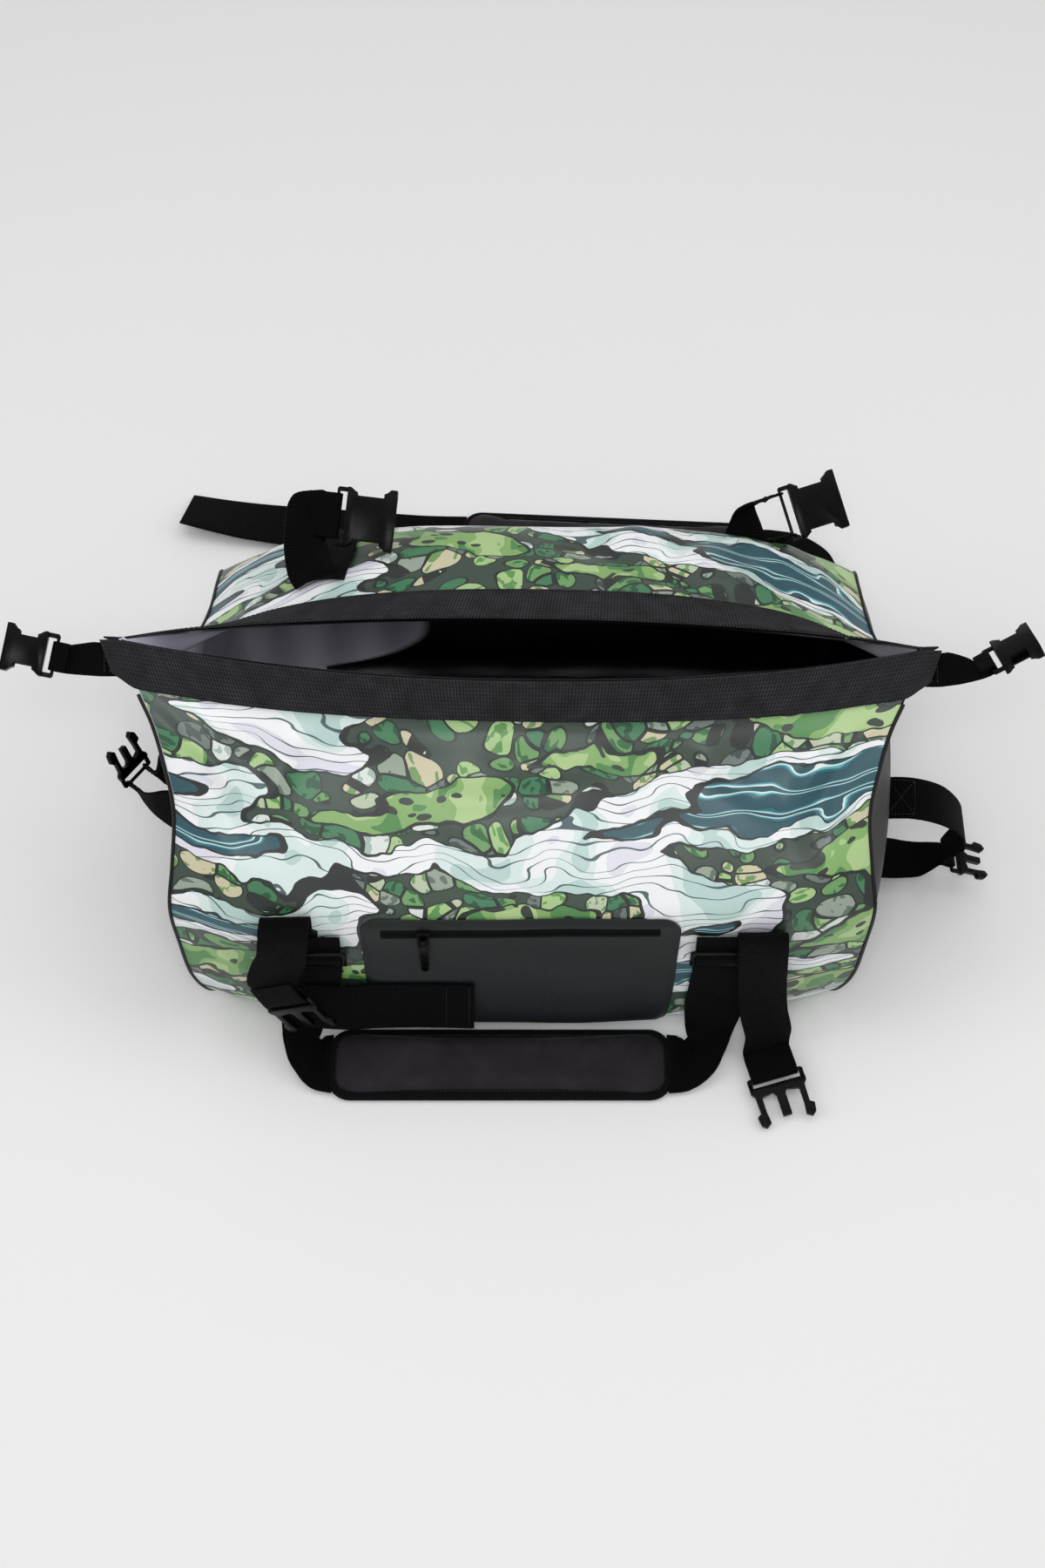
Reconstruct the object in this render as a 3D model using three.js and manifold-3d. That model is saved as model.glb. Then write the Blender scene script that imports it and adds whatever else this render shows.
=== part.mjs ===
// Roll-top duffel dry bag, open at the mouth and resting on its base.
// Millimetres, +X to the bag's right, +Y to its back, +Z up, origin on the floor under the base's middle.
// The cloth is one net of panels lofted through named stations; straps and trim are laid on that net.
import * as THREE from "three";
import Module from "manifold-3d";
import { mergeVertices } from "three/addons/utils/BufferGeometryUtils.js";

const wasm = await Module();
wasm.setup();

// Driving sizes of the bag's body.
const bodyHalfLength = 262;
const bodyHalfDepth = 172;
const wallHeight = 165;
const mouthHeight = 280;
const mouthHalfLength = 297;
const mouthTilt = 7;
const backSkew = 13;
const leftBulge = 12;
const rightBulge = 27;
const clothThickness = 1.4;
const seamGap = 0.85;

// Webbing and trim.
const seat = 0.6;
const layerGap = 0.4;
const webThickness = 1.6;
const strapSteps = 2;
const restGap = 0.8;
const rimBandWidth = 38;
const rimBandThickness = 1.6;
const rimBandOverrun = 13;
const bandRaise = 0.8;
const tabWidth = 25;
const tabLength = 24;
const strapWidth = 38;
const padWebWidth = 50;

// Pocket on the front wall.
const pocketLeft = -122;
const pocketRight = 119;
const pocketTop = 160;
const pocketFoot = 14;
const pocketThickness = 2.6;
const pocketCorner = 14;
const zipDrop = 13;
const zipWidth = 9;
const zipInset = 16;
const zipThickness = 1;
const sliderPlace = -74;

// Padded shoulder straps, lying on the floor before and behind the bag.
const padLength = 274;
const padWidth = 58;
const padCorner = 17;
const padEdge = 6;
const padHeight = 11;
const floorGap = 0.4;

// Moulded buckles and slides.
const bar = 2.4;
const tabBuckleThickness = 11;
const strapBuckleThickness = 11;
const plugThickness = 5;

// How finely the cloth is faceted.
const columns = 20;
const rows = 15;
const bandRows = 2;
const endColumns = 5;

const neckHeight = mouthHeight - wallHeight;
const sliver = 0.12;
const lowestRow = 0.1;

// Colours of the finishes.
const finish = (color, roughness) => new THREE.MeshStandardMaterial({ color, roughness, metalness: 0 });
const printedCloth = finish(0x8fa68c, 0.35);
const blackCloth = finish(0x1b1b1d, 0.4);
const webbing = finish(0x17171a, 0.85);
const mouldedPlastic = finish(0x101012, 0.4);
const padCloth = finish(0x1c191d, 0.9);

const bag = new THREE.Group();

function add(name, geometry, material) {
  const mesh = new THREE.Mesh(geometry, material);
  mesh.name = name;
  bag.add(mesh);
  return mesh;
}

const vec = (x, y, z) => new THREE.Vector3(x, y, z);
const mix = (a, b, t) => a + (b - a) * t;

// Stations run down each side from the lip to the base seam. Heights are shares of the wall and of
// the neck above it, depths are shares of the half depth. "seam" is the line where the side meets the
// end panel, "mid" the bag's middle, and "flat" how square the run between them is.
const stationColumns = ["wall", "neck", "length", "reach", "seam", "midWall", "midNeck", "mid", "flat"];
const named = (names, table) => table.map((cells) => Object.fromEntries(names.map((name, n) => [name, cells[n]])));
const frontStations = named(stationColumns, [
  [1, 1.045, 1.0, 1.0, 0.017, 1, 1.0, 0.18, 2.2],
  [1, 0.89, 1.0, 0.62, 0.205, 1, 0.69, 0.255, 2.2],
  [1, 0.78, 1.0, 0.3, 0.33, 1, 0.58, 0.34, 2.4],
  [1, 0.62, 1.0, 0.08, 0.46, 1, 0.45, 0.48, 2.6],
  [1, 0.4, 0.99, 0, 0.6, 1, 0.27, 0.68, 3],
  [1, 0.17, 1.0, 0, 0.78, 1, 0.09, 0.87, 4],
  [0.96, 0, 1.015, 0, 0.91, 0.95, 0, 0.975, 5],
  [0.68, 0, 1.01, 0, 0.95, 0.66, 0, 1.02, 4],
  [0.36, 0, 1.0, 0, 0.965, 0.36, 0, 1.065, 3],
  [0.12, 0, 0.965, 0, 0.935, 0.11, 0, 1.085, 3],
  [0, 0, 0.92, 0, 0.85, 0, 0, 0.99, 3],
]);
const backStations = named(stationColumns, [
  [1, 0.955, 1.0, 1.0, 0.03, 1, 1.0, 0.13, 2.2],
  [1, 0.79, 1.0, 0.62, 0.035, 1, 0.89, 0.335, 2.4],
  [1, 0.67, 1.0, 0.3, 0.08, 1, 0.84, 0.45, 2.4],
  [1, 0.56, 0.99, 0.08, 0.23, 1, 0.78, 0.6, 2.6],
  [1, 0.42, 0.985, 0, 0.44, 1, 0.67, 0.78, 3],
  [1, 0.25, 0.985, 0, 0.68, 1, 0.48, 0.9, 4],
  [1, 0.04, 0.99, 0, 0.85, 1, 0.12, 0.985, 5],
  [0.66, 0, 1.0, 0, 0.93, 0.66, 0, 1.0, 5],
  [0.36, 0, 1.0, 0, 0.935, 0.36, 0, 1.01, 5],
  [0.12, 0, 0.965, 0, 0.89, 0.11, 0, 0.98, 5],
  [0, 0, 0.92, 0, 0.8, 0, 0, 0.88, 5],
]);
const sides = {
  front: { stations: frontStations, sign: -1, skew: 0 },
  back: { stations: backStations, sign: 1, skew: backSkew },
};

// Soft dents and swells of the cloth. "x" is a share of the half length, "down" a share of the run from
// lip to base seam, "wide" and "tall" how far the fold reaches in the same shares, "out" its height as a
// share of the half depth, and "slant" how far it leans along the bag as it runs down.
const folds = [
  { side: "front", x: -0.55, down: 0.27, wide: 0.3, tall: 0.08, out: 0.022, slant: 0.6 },
  { side: "front", x: 0.5, down: 0.3, wide: 0.34, tall: 0.09, out: 0.026, slant: -0.7 },
  { side: "front", x: 0.02, down: 0.34, wide: 0.3, tall: 0.1, out: -0.02, slant: 0 },
  { side: "front", x: -0.82, down: 0.48, wide: 0.12, tall: 0.07, out: -0.03, slant: 0.8 },
  { side: "front", x: 0.84, down: 0.5, wide: 0.12, tall: 0.07, out: -0.028, slant: -0.8 },
  { side: "front", x: 0.3, down: 0.72, wide: 0.3, tall: 0.1, out: 0.014, slant: 0 },
  { side: "back", x: 0.18, down: 0.33, wide: 0.14, tall: 0.1, out: 0.045, slant: -1.2 },
  { side: "back", x: 0.5, down: 0.3, wide: 0.13, tall: 0.1, out: -0.035, slant: -1.2 },
  { side: "back", x: 0.76, down: 0.34, wide: 0.1, tall: 0.09, out: 0.025, slant: -1 },
  { side: "back", x: -0.45, down: 0.3, wide: 0.2, tall: 0.09, out: -0.025, slant: 0.8 },
  { side: "back", x: -0.1, down: 0.7, wide: 0.3, tall: 0.12, out: 0.014, slant: 0 },
];

// One station's seam point and middle point, for the end at u = -1 or u = 1.
function stationEnds(side, row) {
  const { sign } = sides[side];
  const reachLength = mix(bodyHalfLength * row.length, mouthHalfLength, row.reach);
  return {
    x: reachLength,
    seamY: sign * row.seam * bodyHalfDepth,
    seamZ: row.wall * wallHeight + row.neck * neckHeight,
    midY: sign * row.mid * bodyHalfDepth,
    midZ: row.midWall * wallHeight + row.midNeck * neckHeight,
    flat: row.flat,
    neck: Math.max(row.neck, row.midNeck),
  };
}

// Catmull-Rom value of four neighbours.
function spline(a, b, c, d, t) {
  const rise = (c - a) * 0.5;
  const fall = (d - b) * 0.5;
  return (
    (2 * b - 2 * c + rise + fall) * t ** 3 + (3 * c - 3 * b - 2 * rise - fall) * t ** 2 + rise * t + b
  );
}

const profileSteps = 6;

// The line that the cloth follows from lip to base seam, at share u of the way from middle to end.
function clothLine(side, u) {
  const { stations, sign, skew } = sides[side];
  const points = stations.map((row) => {
    const end = stationEnds(side, row);
    const swell = 1 - Math.abs(u) ** end.flat;
    const tilt = -mouthTilt * u * end.neck;
    const x = u * end.x + skew * (1 - row.reach);
    return vec(x, mix(end.seamY, end.midY, swell), mix(end.seamZ, end.midZ, swell) + tilt);
  });
  const at = (i) => points[Math.min(Math.max(i, 0), points.length - 1)];
  const line = [];
  for (let i = 0; i < points.length - 1; i++) {
    for (let k = 0; k < profileSteps; k++) {
      const four = [at(i - 1), at(i), at(i + 1), at(i + 2)];
      const blend = (axis) => spline(...four.map((p) => p[axis]), k / profileSteps);
      line.push(vec(blend("x"), blend("y"), Math.max(blend("z"), 0)));
    }
  }
  line.push(points[points.length - 1]);
  return raiseFolds(line, side, sign, u);
}

function raiseFolds(line, side, sign, u) {
  return line.map((p, i) => {
    const before = line[Math.max(i - 1, 0)];
    const after = line[Math.min(i + 1, line.length - 1)];
    const run = after.clone().sub(before).normalize();
    const outward = vec(0, run.z * -sign, run.y * sign).multiplyScalar(-1);
    const down = i / (line.length - 1);
    let rise = 0;
    for (const fold of folds) {
      if (fold.side !== side) continue;
      const along = (u - fold.x - fold.slant * (down - fold.down)) / fold.wide;
      const across = (down - fold.down) / fold.tall;
      rise += fold.out * bodyHalfDepth * Math.exp(-along * along - across * across);
    }
    const edge = Math.min(1, (1 - Math.abs(u)) * 6);
    return p.clone().addScaledVector(outward, rise * edge);
  });
}

function lineLengths(line) {
  const lengths = [0];
  for (let i = 1; i < line.length; i++) lengths.push(lengths[i - 1] + line[i].distanceTo(line[i - 1]));
  return lengths;
}

// The point that lies a given distance down a line from its first point.
function pointAlong(line, lengths, distance) {
  let i = 1;
  while (i < line.length - 1 && lengths[i] < distance) i++;
  const t = (distance - lengths[i - 1]) / (lengths[i] - lengths[i - 1]);
  return line[i - 1].clone().lerp(line[i], t);
}

// Points of one side panel: rows down from the lip, the first few of them under the rim band.
function sideGrid(side) {
  const grid = [];
  for (let i = 0; i <= columns; i++) {
    const line = clothLine(side, mix(-1, 1, i / columns));
    const lengths = lineLengths(line);
    const total = lengths[lengths.length - 1];
    const column = [];
    for (let j = 0; j <= rows; j++) {
      const below = (j - bandRows) / (rows - bandRows);
      const distance = j <= bandRows ? (rimBandWidth * j) / bandRows : mix(rimBandWidth, total, below);
      column.push(pointAlong(line, lengths, distance));
    }
    grid.push(column);
  }
  return grid;
}

// The rows of an end panel dip between its seams by this much, or by this share of a short row.
const endDip = 16;
const endDipShare = 0.3;

// How far the black end panel swells past its seams, down its rows.
const swellStart = 0.36;
function endSwell(down) {
  const open = Math.min(1, down / swellStart);
  return open ** 2 * (3 - 2 * open) * (1 - 0.3 * down);
}

// Points of one end panel, from the front seam round to the back seam.
function endGrid(end, front, back) {
  const columnOf = end > 0 ? columns : 0;
  const grid = [];
  for (let k = 0; k <= endColumns; k++) {
    const t = k / endColumns;
    const bow = 1 - (2 * t - 1) ** 2;
    grid.push(
      front[columnOf].map((p, j) => {
        const q = back[columnOf][j];
        const width = Math.min(1, p.distanceTo(q) / (1.6 * bodyHalfDepth)) ** 1.5;
        const swell = (end > 0 ? rightBulge : leftBulge) * endSwell(j / rows) * bow * width;
        const dip = Math.min(endDip, p.distanceTo(q) * endDipShare) * bow * Math.sin((Math.PI * j) / rows);
        return p.clone().lerp(q, t).add(vec(end * swell, 0, -dip));
      }),
    );
  }
  return grid;
}

// Points of the base, between the two base seams and the two end panels.
function baseGrid(front, back, left, right) {
  const grid = [];
  for (let i = 0; i <= columns; i++) {
    const share = i / columns;
    const column = [];
    for (let k = 0; k <= endColumns; k++) {
      const t = k / endColumns;
      const across = front[i][rows].clone().lerp(back[i][rows], t);
      const fromLeft = left[k][rows].x - left[0][rows].x * (1 - t) - left[endColumns][rows].x * t;
      const fromRight = right[k][rows].x - right[0][rows].x * (1 - t) - right[endColumns][rows].x * t;
      column.push(across.add(vec(mix(fromLeft, fromRight, share), 0, 0)));
    }
    grid.push(column);
  }
  return grid;
}

const keyOf = (p) => [p.x, p.y, p.z].map((value) => Math.round(value * 50)).join(",");

// Outward normals of the whole net, shared where panels meet.
function netNormals(panels) {
  const normals = new Map();
  for (const { grid, flip } of panels) {
    for (let i = 0; i < grid.length - 1; i++) {
      for (let j = 0; j < grid[i].length - 1; j++) {
        const corners = [grid[i][j], grid[i + 1][j], grid[i + 1][j + 1], grid[i][j + 1]];
        const across = corners[2].clone().sub(corners[0]);
        const face = across.cross(corners[3].clone().sub(corners[1])).multiplyScalar(flip ? -1 : 1);
        if (face.length() < 1e-6) continue;
        face.normalize();
        for (const corner of corners) {
          const key = keyOf(corner);
          if (!normals.has(key)) normals.set(key, []);
          normals.get(key).push(face);
        }
      }
    }
  }
  return normals;
}

// The cloth's inner face: each point goes in by one thickness, measured square to the faces round it.
function innerPoint(p, normals, depth) {
  const faces = normals.get(keyOf(p));
  const mean = faces.reduce((sum, face) => sum.add(face), vec(0, 0, 0)).normalize();
  const lean = Math.max(0.6, faces.reduce((sum, face) => sum + face.dot(mean), 0) / faces.length);
  return p.clone().addScaledVector(mean, -depth / lean);
}

// Draws the edges of a panel in from its seams, so that neighbours stay clear by one seam gap.
function clearSeams(outer, inner, edges) {
  const lastI = outer.length - 1;
  const lastJ = outer[0].length - 1;
  const moves = [];
  const pull = (i, j, inward, along) => {
    const seamRun = outer[along[0]][along[1]].clone().sub(outer[i][j]);
    const square = seamRun.cross(outer[i][j].clone().sub(inner[i][j])).normalize();
    for (const grid of [outer, inner]) {
      const step = grid[inward[0]][inward[1]].clone().sub(grid[i][j]).normalize();
      const share = Math.max(0.35, Math.abs(step.dot(square)));
      moves.push({ point: grid[i][j], step: step.multiplyScalar(seamGap / 2 / share) });
    }
  };
  for (let j = 0; j <= lastJ; j++) {
    const beside = j < lastJ ? j + 1 : j - 1;
    if (edges.ends) pull(0, j, [1, j], [0, beside]);
    if (edges.ends) pull(lastI, j, [lastI - 1, j], [lastI, beside]);
  }
  for (let i = 0; i <= lastI; i++) {
    const beside = i < lastI ? i + 1 : i - 1;
    if (edges.top) pull(i, 0, [i, 1], [beside, 0]);
    if (edges.foot) pull(i, lastJ, [i, lastJ - 1], [beside, lastJ]);
  }
  for (const { point, step } of moves) point.add(step);
}

// A closed solid between an outer and an inner grid of points.
function wallBetween(outer, inner, flip) {
  const countJ = outer[0].length;
  const positions = [];
  for (const grid of [outer, inner]) {
    for (const column of grid) for (const p of column) positions.push(p.x, p.y, p.z);
  }
  const half = outer.length * countJ;
  const index = [];
  const quad = (a, b, c, d) => (flip ? index.push(a, c, b, a, d, c) : index.push(a, b, c, a, c, d));
  const at = (i, j) => i * countJ + j;
  for (let i = 0; i < outer.length - 1; i++) {
    for (let j = 0; j < countJ - 1; j++) {
      quad(at(i, j), at(i + 1, j), at(i + 1, j + 1), at(i, j + 1));
      quad(half + at(i, j), half + at(i, j + 1), half + at(i + 1, j + 1), half + at(i + 1, j));
    }
    const last = countJ - 1;
    quad(at(i, 0), half + at(i, 0), half + at(i + 1, 0), at(i + 1, 0));
    quad(at(i, last), at(i + 1, last), half + at(i + 1, last), half + at(i, last));
  }
  for (let j = 0; j < countJ - 1; j++) {
    const last = outer.length - 1;
    quad(at(0, j), at(0, j + 1), half + at(0, j + 1), half + at(0, j));
    quad(at(last, j), half + at(last, j), half + at(last, j + 1), at(last, j + 1));
  }
  const geometry = new THREE.BufferGeometry();
  geometry.setAttribute("position", new THREE.Float32BufferAttribute(positions, 3));
  geometry.setIndex(index);
  return geometry;
}

// The five cloth panels.
const frontGrid = sideGrid("front");
const backGrid = sideGrid("back");
const leftGrid = endGrid(-1, frontGrid, backGrid);
const rightGrid = endGrid(1, frontGrid, backGrid);
const baseNet = baseGrid(frontGrid, backGrid, leftGrid, rightGrid);
const wallEdges = { ends: true, foot: true };
const panels = [
  { name: "front_panel", grid: frontGrid, flip: true, material: printedCloth, edges: wallEdges },
  { name: "back_panel", grid: backGrid, flip: false, material: printedCloth, edges: wallEdges },
  { name: "end_panel_left", grid: leftGrid, flip: false, material: blackCloth, edges: wallEdges },
  { name: "end_panel_right", grid: rightGrid, flip: true, material: blackCloth, edges: wallEdges },
  { name: "base_panel", grid: baseNet, flip: true, material: blackCloth, edges: { ...wallEdges, top: true } },
];
const normals = netNormals(panels);
for (const { name, grid, flip, material, edges } of panels) {
  const outer = grid.map((column) => column.map((p) => p.clone()));
  const inner = grid.map((column) => column.map((p) => innerPoint(p, normals, clothThickness)));
  clearSeams(outer, inner, edges);
  add(name, wallBetween(outer, inner, flip), material);
}

// The outward direction of the net at one of its points.
function outwardAt(p) {
  return normals.get(keyOf(p)).reduce((sum, face) => sum.add(face), vec(0, 0, 0)).normalize();
}

// A place on a side panel, at fractional column i and row j, raised off the cloth along its normal.
function onCloth(grid, i, j, raise) {
  const i0 = Math.min(Math.floor(i), columns - 1);
  const j0 = Math.min(Math.floor(j), rows - 1);
  const at = (di, dj) => {
    const p = grid[i0 + di][j0 + dj];
    return p.clone().addScaledVector(outwardAt(p), raise);
  };
  return at(0, 0).lerp(at(1, 0), i - i0).lerp(at(0, 1).lerp(at(1, 1), i - i0), j - j0);
}

// The fractional row at which a side's wall passes a height, on fractional column i.
function rowAtHeight(grid, i, height) {
  let j = rows - 1;
  while (j > bandRows && onCloth(grid, i, j, 0).z < height) j--;
  const low = onCloth(grid, i, j + 1, 0).z;
  const high = onCloth(grid, i, j, 0).z;
  return j + Math.min(1, Math.max(0, (high - height) / (high - low)));
}

const columnOf = (x) => ((x / bodyHalfLength + 1) / 2) * columns;

// A layer of cloth laid on a panel: it follows the panel's own columns and rows, so it never cuts them.
// "corner" is how far each corner is drawn in, in columns and in rows.
function layer(grid, iList, jList, raise, thickness, corner) {
  const lastI = iList.length - 1;
  const lastJ = jList.length - 1;
  const drawIn = (list, n, last, atCorner, amount) => {
    if (!atCorner) return list[n];
    return n === 0 ? list[0] + amount : list[last] - amount;
  };
  const place = (a, b, height) => {
    const atCorner = (a === 0 || a === lastI) && (b === 0 || b === lastJ);
    const i = drawIn(iList, a, lastI, atCorner, corner.columns);
    const j = drawIn(jList, b, lastJ, atCorner, corner.rows);
    return onCloth(grid, i, j, height);
  };
  const sheet = (height) => iList.map((_, a) => jList.map((__, b) => place(a, b, height)));
  return wallBetween(sheet(raise + thickness), sheet(raise), grid === frontGrid);
}

// Whole grid lines strictly between two fractional ones, with the two ends.
function linesBetween(from, to) {
  const list = [from];
  for (let n = Math.ceil(from + sliver); n < to - sliver; n++) list.push(n);
  list.push(to);
  return list;
}

// Rim bands: webbing sewn round the outside of the mouth, run on past both ends to hold the tabs.
function rimBand(name, grid, flip, settle) {
  const band = [];
  for (let i = 0; i <= columns; i++) band.push(i);
  const sheet = (height) =>
    band.map((i) => linesBetween(0, bandRows).map((j) => onCloth(grid, i, j, height)));
  const outer = sheet(bandRaise + rimBandThickness);
  const inner = sheet(bandRaise);
  for (const faces of [outer, inner]) {
    const endColumn = (column, sign) =>
      [0.45, 1].map((share) =>
        column.map((p, j) => {
          const draw = share * (j / bandRows) * 0.32;
          const toward = column[0].clone().lerp(column[bandRows], (j / bandRows) * (1 - draw));
          return toward.add(vec(sign * rimBandOverrun * share, settle.y * share, settle.z * share));
        }),
      );
    faces.unshift(...endColumn(faces[0], -1).reverse());
    faces.push(...endColumn(faces[faces.length - 1], 1));
  }
  add(name, wallBetween(outer, inner, flip), webbing);
}
rimBand("rim_band_front", frontGrid, true, { y: 0, z: 0 });
rimBand("rim_band_back", backGrid, false, { y: -0.6, z: 1.6 });

// Front pocket with its zip.
const columnPitch = (2 * bodyHalfLength) / columns;
const middleColumn = columnOf((pocketLeft + pocketRight) / 2);
const pocketTopRow = rowAtHeight(frontGrid, middleColumn, pocketTop);
const pocketFootRow = rowAtHeight(frontGrid, middleColumn, pocketFoot);
const rowPitch = (pocketTop - pocketFoot) / (pocketFootRow - pocketTopRow);
const pocketColumns = linesBetween(columnOf(pocketLeft), columnOf(pocketRight));
const pocketRows = linesBetween(pocketTopRow, pocketFootRow);
const drawn = pocketCorner * (1 - Math.SQRT1_2);
const pocketRound = { columns: drawn / columnPitch, rows: drawn / rowPitch };
const pocketLayer = layer(frontGrid, pocketColumns, pocketRows, seat, pocketThickness, pocketRound);
add("front_pocket", pocketLayer, blackCloth);

const zipRaise = seat + pocketThickness + seat;
const zipTopRow = pocketTopRow + zipDrop / rowPitch;
const zipColumns = linesBetween(columnOf(pocketLeft + zipInset), columnOf(pocketRight - zipInset));
const zipRows = linesBetween(zipTopRow, zipTopRow + zipWidth / rowPitch);
const square = { columns: 0, rows: 0 };
add("pocket_zip", layer(frontGrid, zipColumns, zipRows, zipRaise, zipThickness, square), blackCloth);

// A place off a side's wall: shares of the half length and wall height, then millimetres outwards.
function offWall(side, along, up, out) {
  const grid = side === "front" ? frontGrid : backGrid;
  const x = along * bodyHalfLength;
  const height = Math.max(up, lowestRow) * wallHeight;
  const column = columnOf(x);
  const wall = onCloth(grid, column, rowAtHeight(grid, column, height), 0);
  return vec(x, wall.y + sides[side].sign * out, up * wallHeight);
}

// The faces of the upright panels, which webbing rests on.
const clothFaces = [];
for (const { name, grid, flip } of panels) {
  if (name === "base_panel") continue;
  for (let i = 0; i < grid.length - 1; i++) {
    for (let j = 0; j < rows; j++) {
      const corners = [grid[i][j], grid[i + 1][j], grid[i + 1][j + 1], grid[i][j + 1]];
      for (const [a, b, c] of [[0, 1, 2], [0, 2, 3]]) {
        clothFaces.push(new THREE.Triangle(corners[a], corners[flip ? c : b], corners[flip ? b : c]));
      }
    }
  }
}
const nearCloth = 3 * rimBandWidth;

// What must be added to a point so that it stands clear of the cloth.
function liftOff(p, clearance) {
  const foot = vec(0, 0, 0);
  let best = null;
  for (const face of clothFaces) {
    if (face.a.distanceTo(p) > nearCloth) continue;
    face.closestPointToPoint(p, foot);
    const away = foot.distanceTo(p);
    if (best === null || away < best.away) best = { away, face, side: p.clone().sub(foot) };
  }
  if (best === null) return vec(0, 0, 0);
  const out = best.face.getNormal(vec(0, 0, 0));
  const stand = best.side.dot(out) < 0 ? -best.away : best.away;
  return out.multiplyScalar(Math.max(0, clearance - stand));
}

// Webbing laid along rows of centre points. Each row has the direction of the webbing's width, and
// "wide" is the share of the full width where the webbing is gathered. Where it rests on the cloth it is
// lifted clear of it.
function webbingStrip(name, width, path, { steps = strapSteps, rests = true, clear = restGap } = {}) {
  const curve = new THREE.CatmullRomCurve3(path.map((row) => row.at), false, "centripetal");
  const count = (path.length - 1) * steps;
  const outer = [];
  const inner = [];
  for (let n = 0; n <= count; n++) {
    const row = Math.min(Math.floor(n / steps), path.length - 2);
    const t = n / steps - row;
    const at = curve.getPoint(n / count);
    const run = curve.getTangent(n / count);
    const across = path[row].across.clone().lerp(path[row + 1].across, t);
    across.addScaledVector(run, -across.dot(run)).normalize();
    const face = run.clone().cross(across).normalize();
    const half = (width / 2) * mix(path[row].wide ?? 1, path[row + 1].wide ?? 1, t);
    const lifts = [-1, -0.5, 0, 0.5, 1].map((share) => {
      const p = at.clone().addScaledVector(across, share * half);
      return rests ? liftOff(p, clear + webThickness / 2) : vec(0, 0, 0);
    });
    const most = (...list) => list.reduce((a, b) => (b.length() > a.length() ? b : a));
    const middleLift = most(lifts[1], lifts[2], lifts[3]);
    const edgeLifts = [most(lifts[0], lifts[1]), middleLift, most(lifts[3], lifts[4])];
    const edges = [-1, 0, 1].map((share, e) =>
      at.clone().addScaledVector(across, share * half).add(edgeLifts[e]),
    );
    outer.push(edges.map((p) => p.clone().addScaledVector(face, webThickness / 2)));
    inner.push(edges.map((p) => p.clone().addScaledVector(face, -webThickness / 2)));
  }
  return add(name, wallBetween(outer, inner, false), webbing);
}

const row = (at, x, y, z, wide = 1) => ({ at, across: vec(x, y, z), wide });
const wallRows = (side, table) =>
  table.map((r) => row(offWall(side, r.along, r.up, r.out), r.ax, r.ay, r.az, r.wide));

// The path of webbing that turns back round a bar: a half circle about the bar's middle.
function roundBar(centre, axis, from, radius, wide = 1) {
  const side = axis.clone().normalize().cross(from).normalize();
  return [0, 0.25, 0.5, 0.75, 1].map((share) => {
    const angle = Math.PI * share;
    const at = centre.clone().addScaledVector(from, Math.sin(angle) * radius);
    return { at: at.addScaledVector(side, Math.cos(angle) * radius), across: axis, wide };
  });
}

// Shape of a plate with oblong holes, pushed to a thickness about its own middle plane.
function platePiece(outline, holes, thickness) {
  const corners = (list) => list.map(([x, y]) => new THREE.Vector2(x, y));
  const shape = new THREE.Shape(corners(outline));
  for (const [x0, y0, x1, y1] of holes) {
    shape.holes.push(new THREE.Path(corners([[x0, y0], [x0, y1], [x1, y1], [x1, y0]])));
  }
  const piece = new THREE.ExtrudeGeometry(shape, { depth: thickness, bevelEnabled: false });
  return piece.translate(0, 0, -thickness / 2);
}

// The faces of a joined or cut body as one shape, and a shape as a body to join or cut.
function fromManifold(body) {
  const mesh = body.getMesh();
  const result = new THREE.BufferGeometry();
  result.setAttribute("position", new THREE.Float32BufferAttribute(mesh.vertProperties, 3));
  result.setIndex(Array.from(mesh.triVerts));
  return result;
}

function toManifold(geometry) {
  const bare = geometry.clone();
  bare.deleteAttribute("normal");
  bare.deleteAttribute("uv");
  const welded = mergeVertices(bare, 1e-3);
  return new wasm.Manifold(
    new wasm.Mesh({
      numProp: 3,
      vertProperties: new Float32Array(welded.attributes.position.array),
      triVerts: new Uint32Array(welded.index.array),
    }),
  );
}

function cutAway(geometry, boxes) {
  let body = toManifold(geometry);
  for (const [x0, y0, z0, x1, y1, z1] of boxes) {
    const box = new THREE.BoxGeometry(x1 - x0, y1 - y0, z1 - z0);
    box.translate((x0 + x1) / 2, (y0 + y1) / 2, (z0 + z1) / 2);
    body = body.subtract(toManifold(box));
  }
  return fromManifold(body);
}

const mirrored = (half) => [...half, ...half.map(([x, y]) => [-x, y]).reverse()];

// Buckle halves lie with their webbing bar along x through the origin, their length along +Y and face up.
const slotDepth = 6;
const barSide = 4;
const slotEnd = bar / 2 + slotDepth;
const slotFor = (width) => [-width / 2 - 0.5, bar / 2, width / 2 + 0.5, slotEnd];

// Thins the webbing end of a buckle down to its bar.
const thinEnd = (half, thickness) => [
  [-half - 2, -bar, bar / 2, half + 2, slotEnd, thickness],
  [-half - 2, -bar, -thickness, half + 2, slotEnd, -bar / 2],
];

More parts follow.
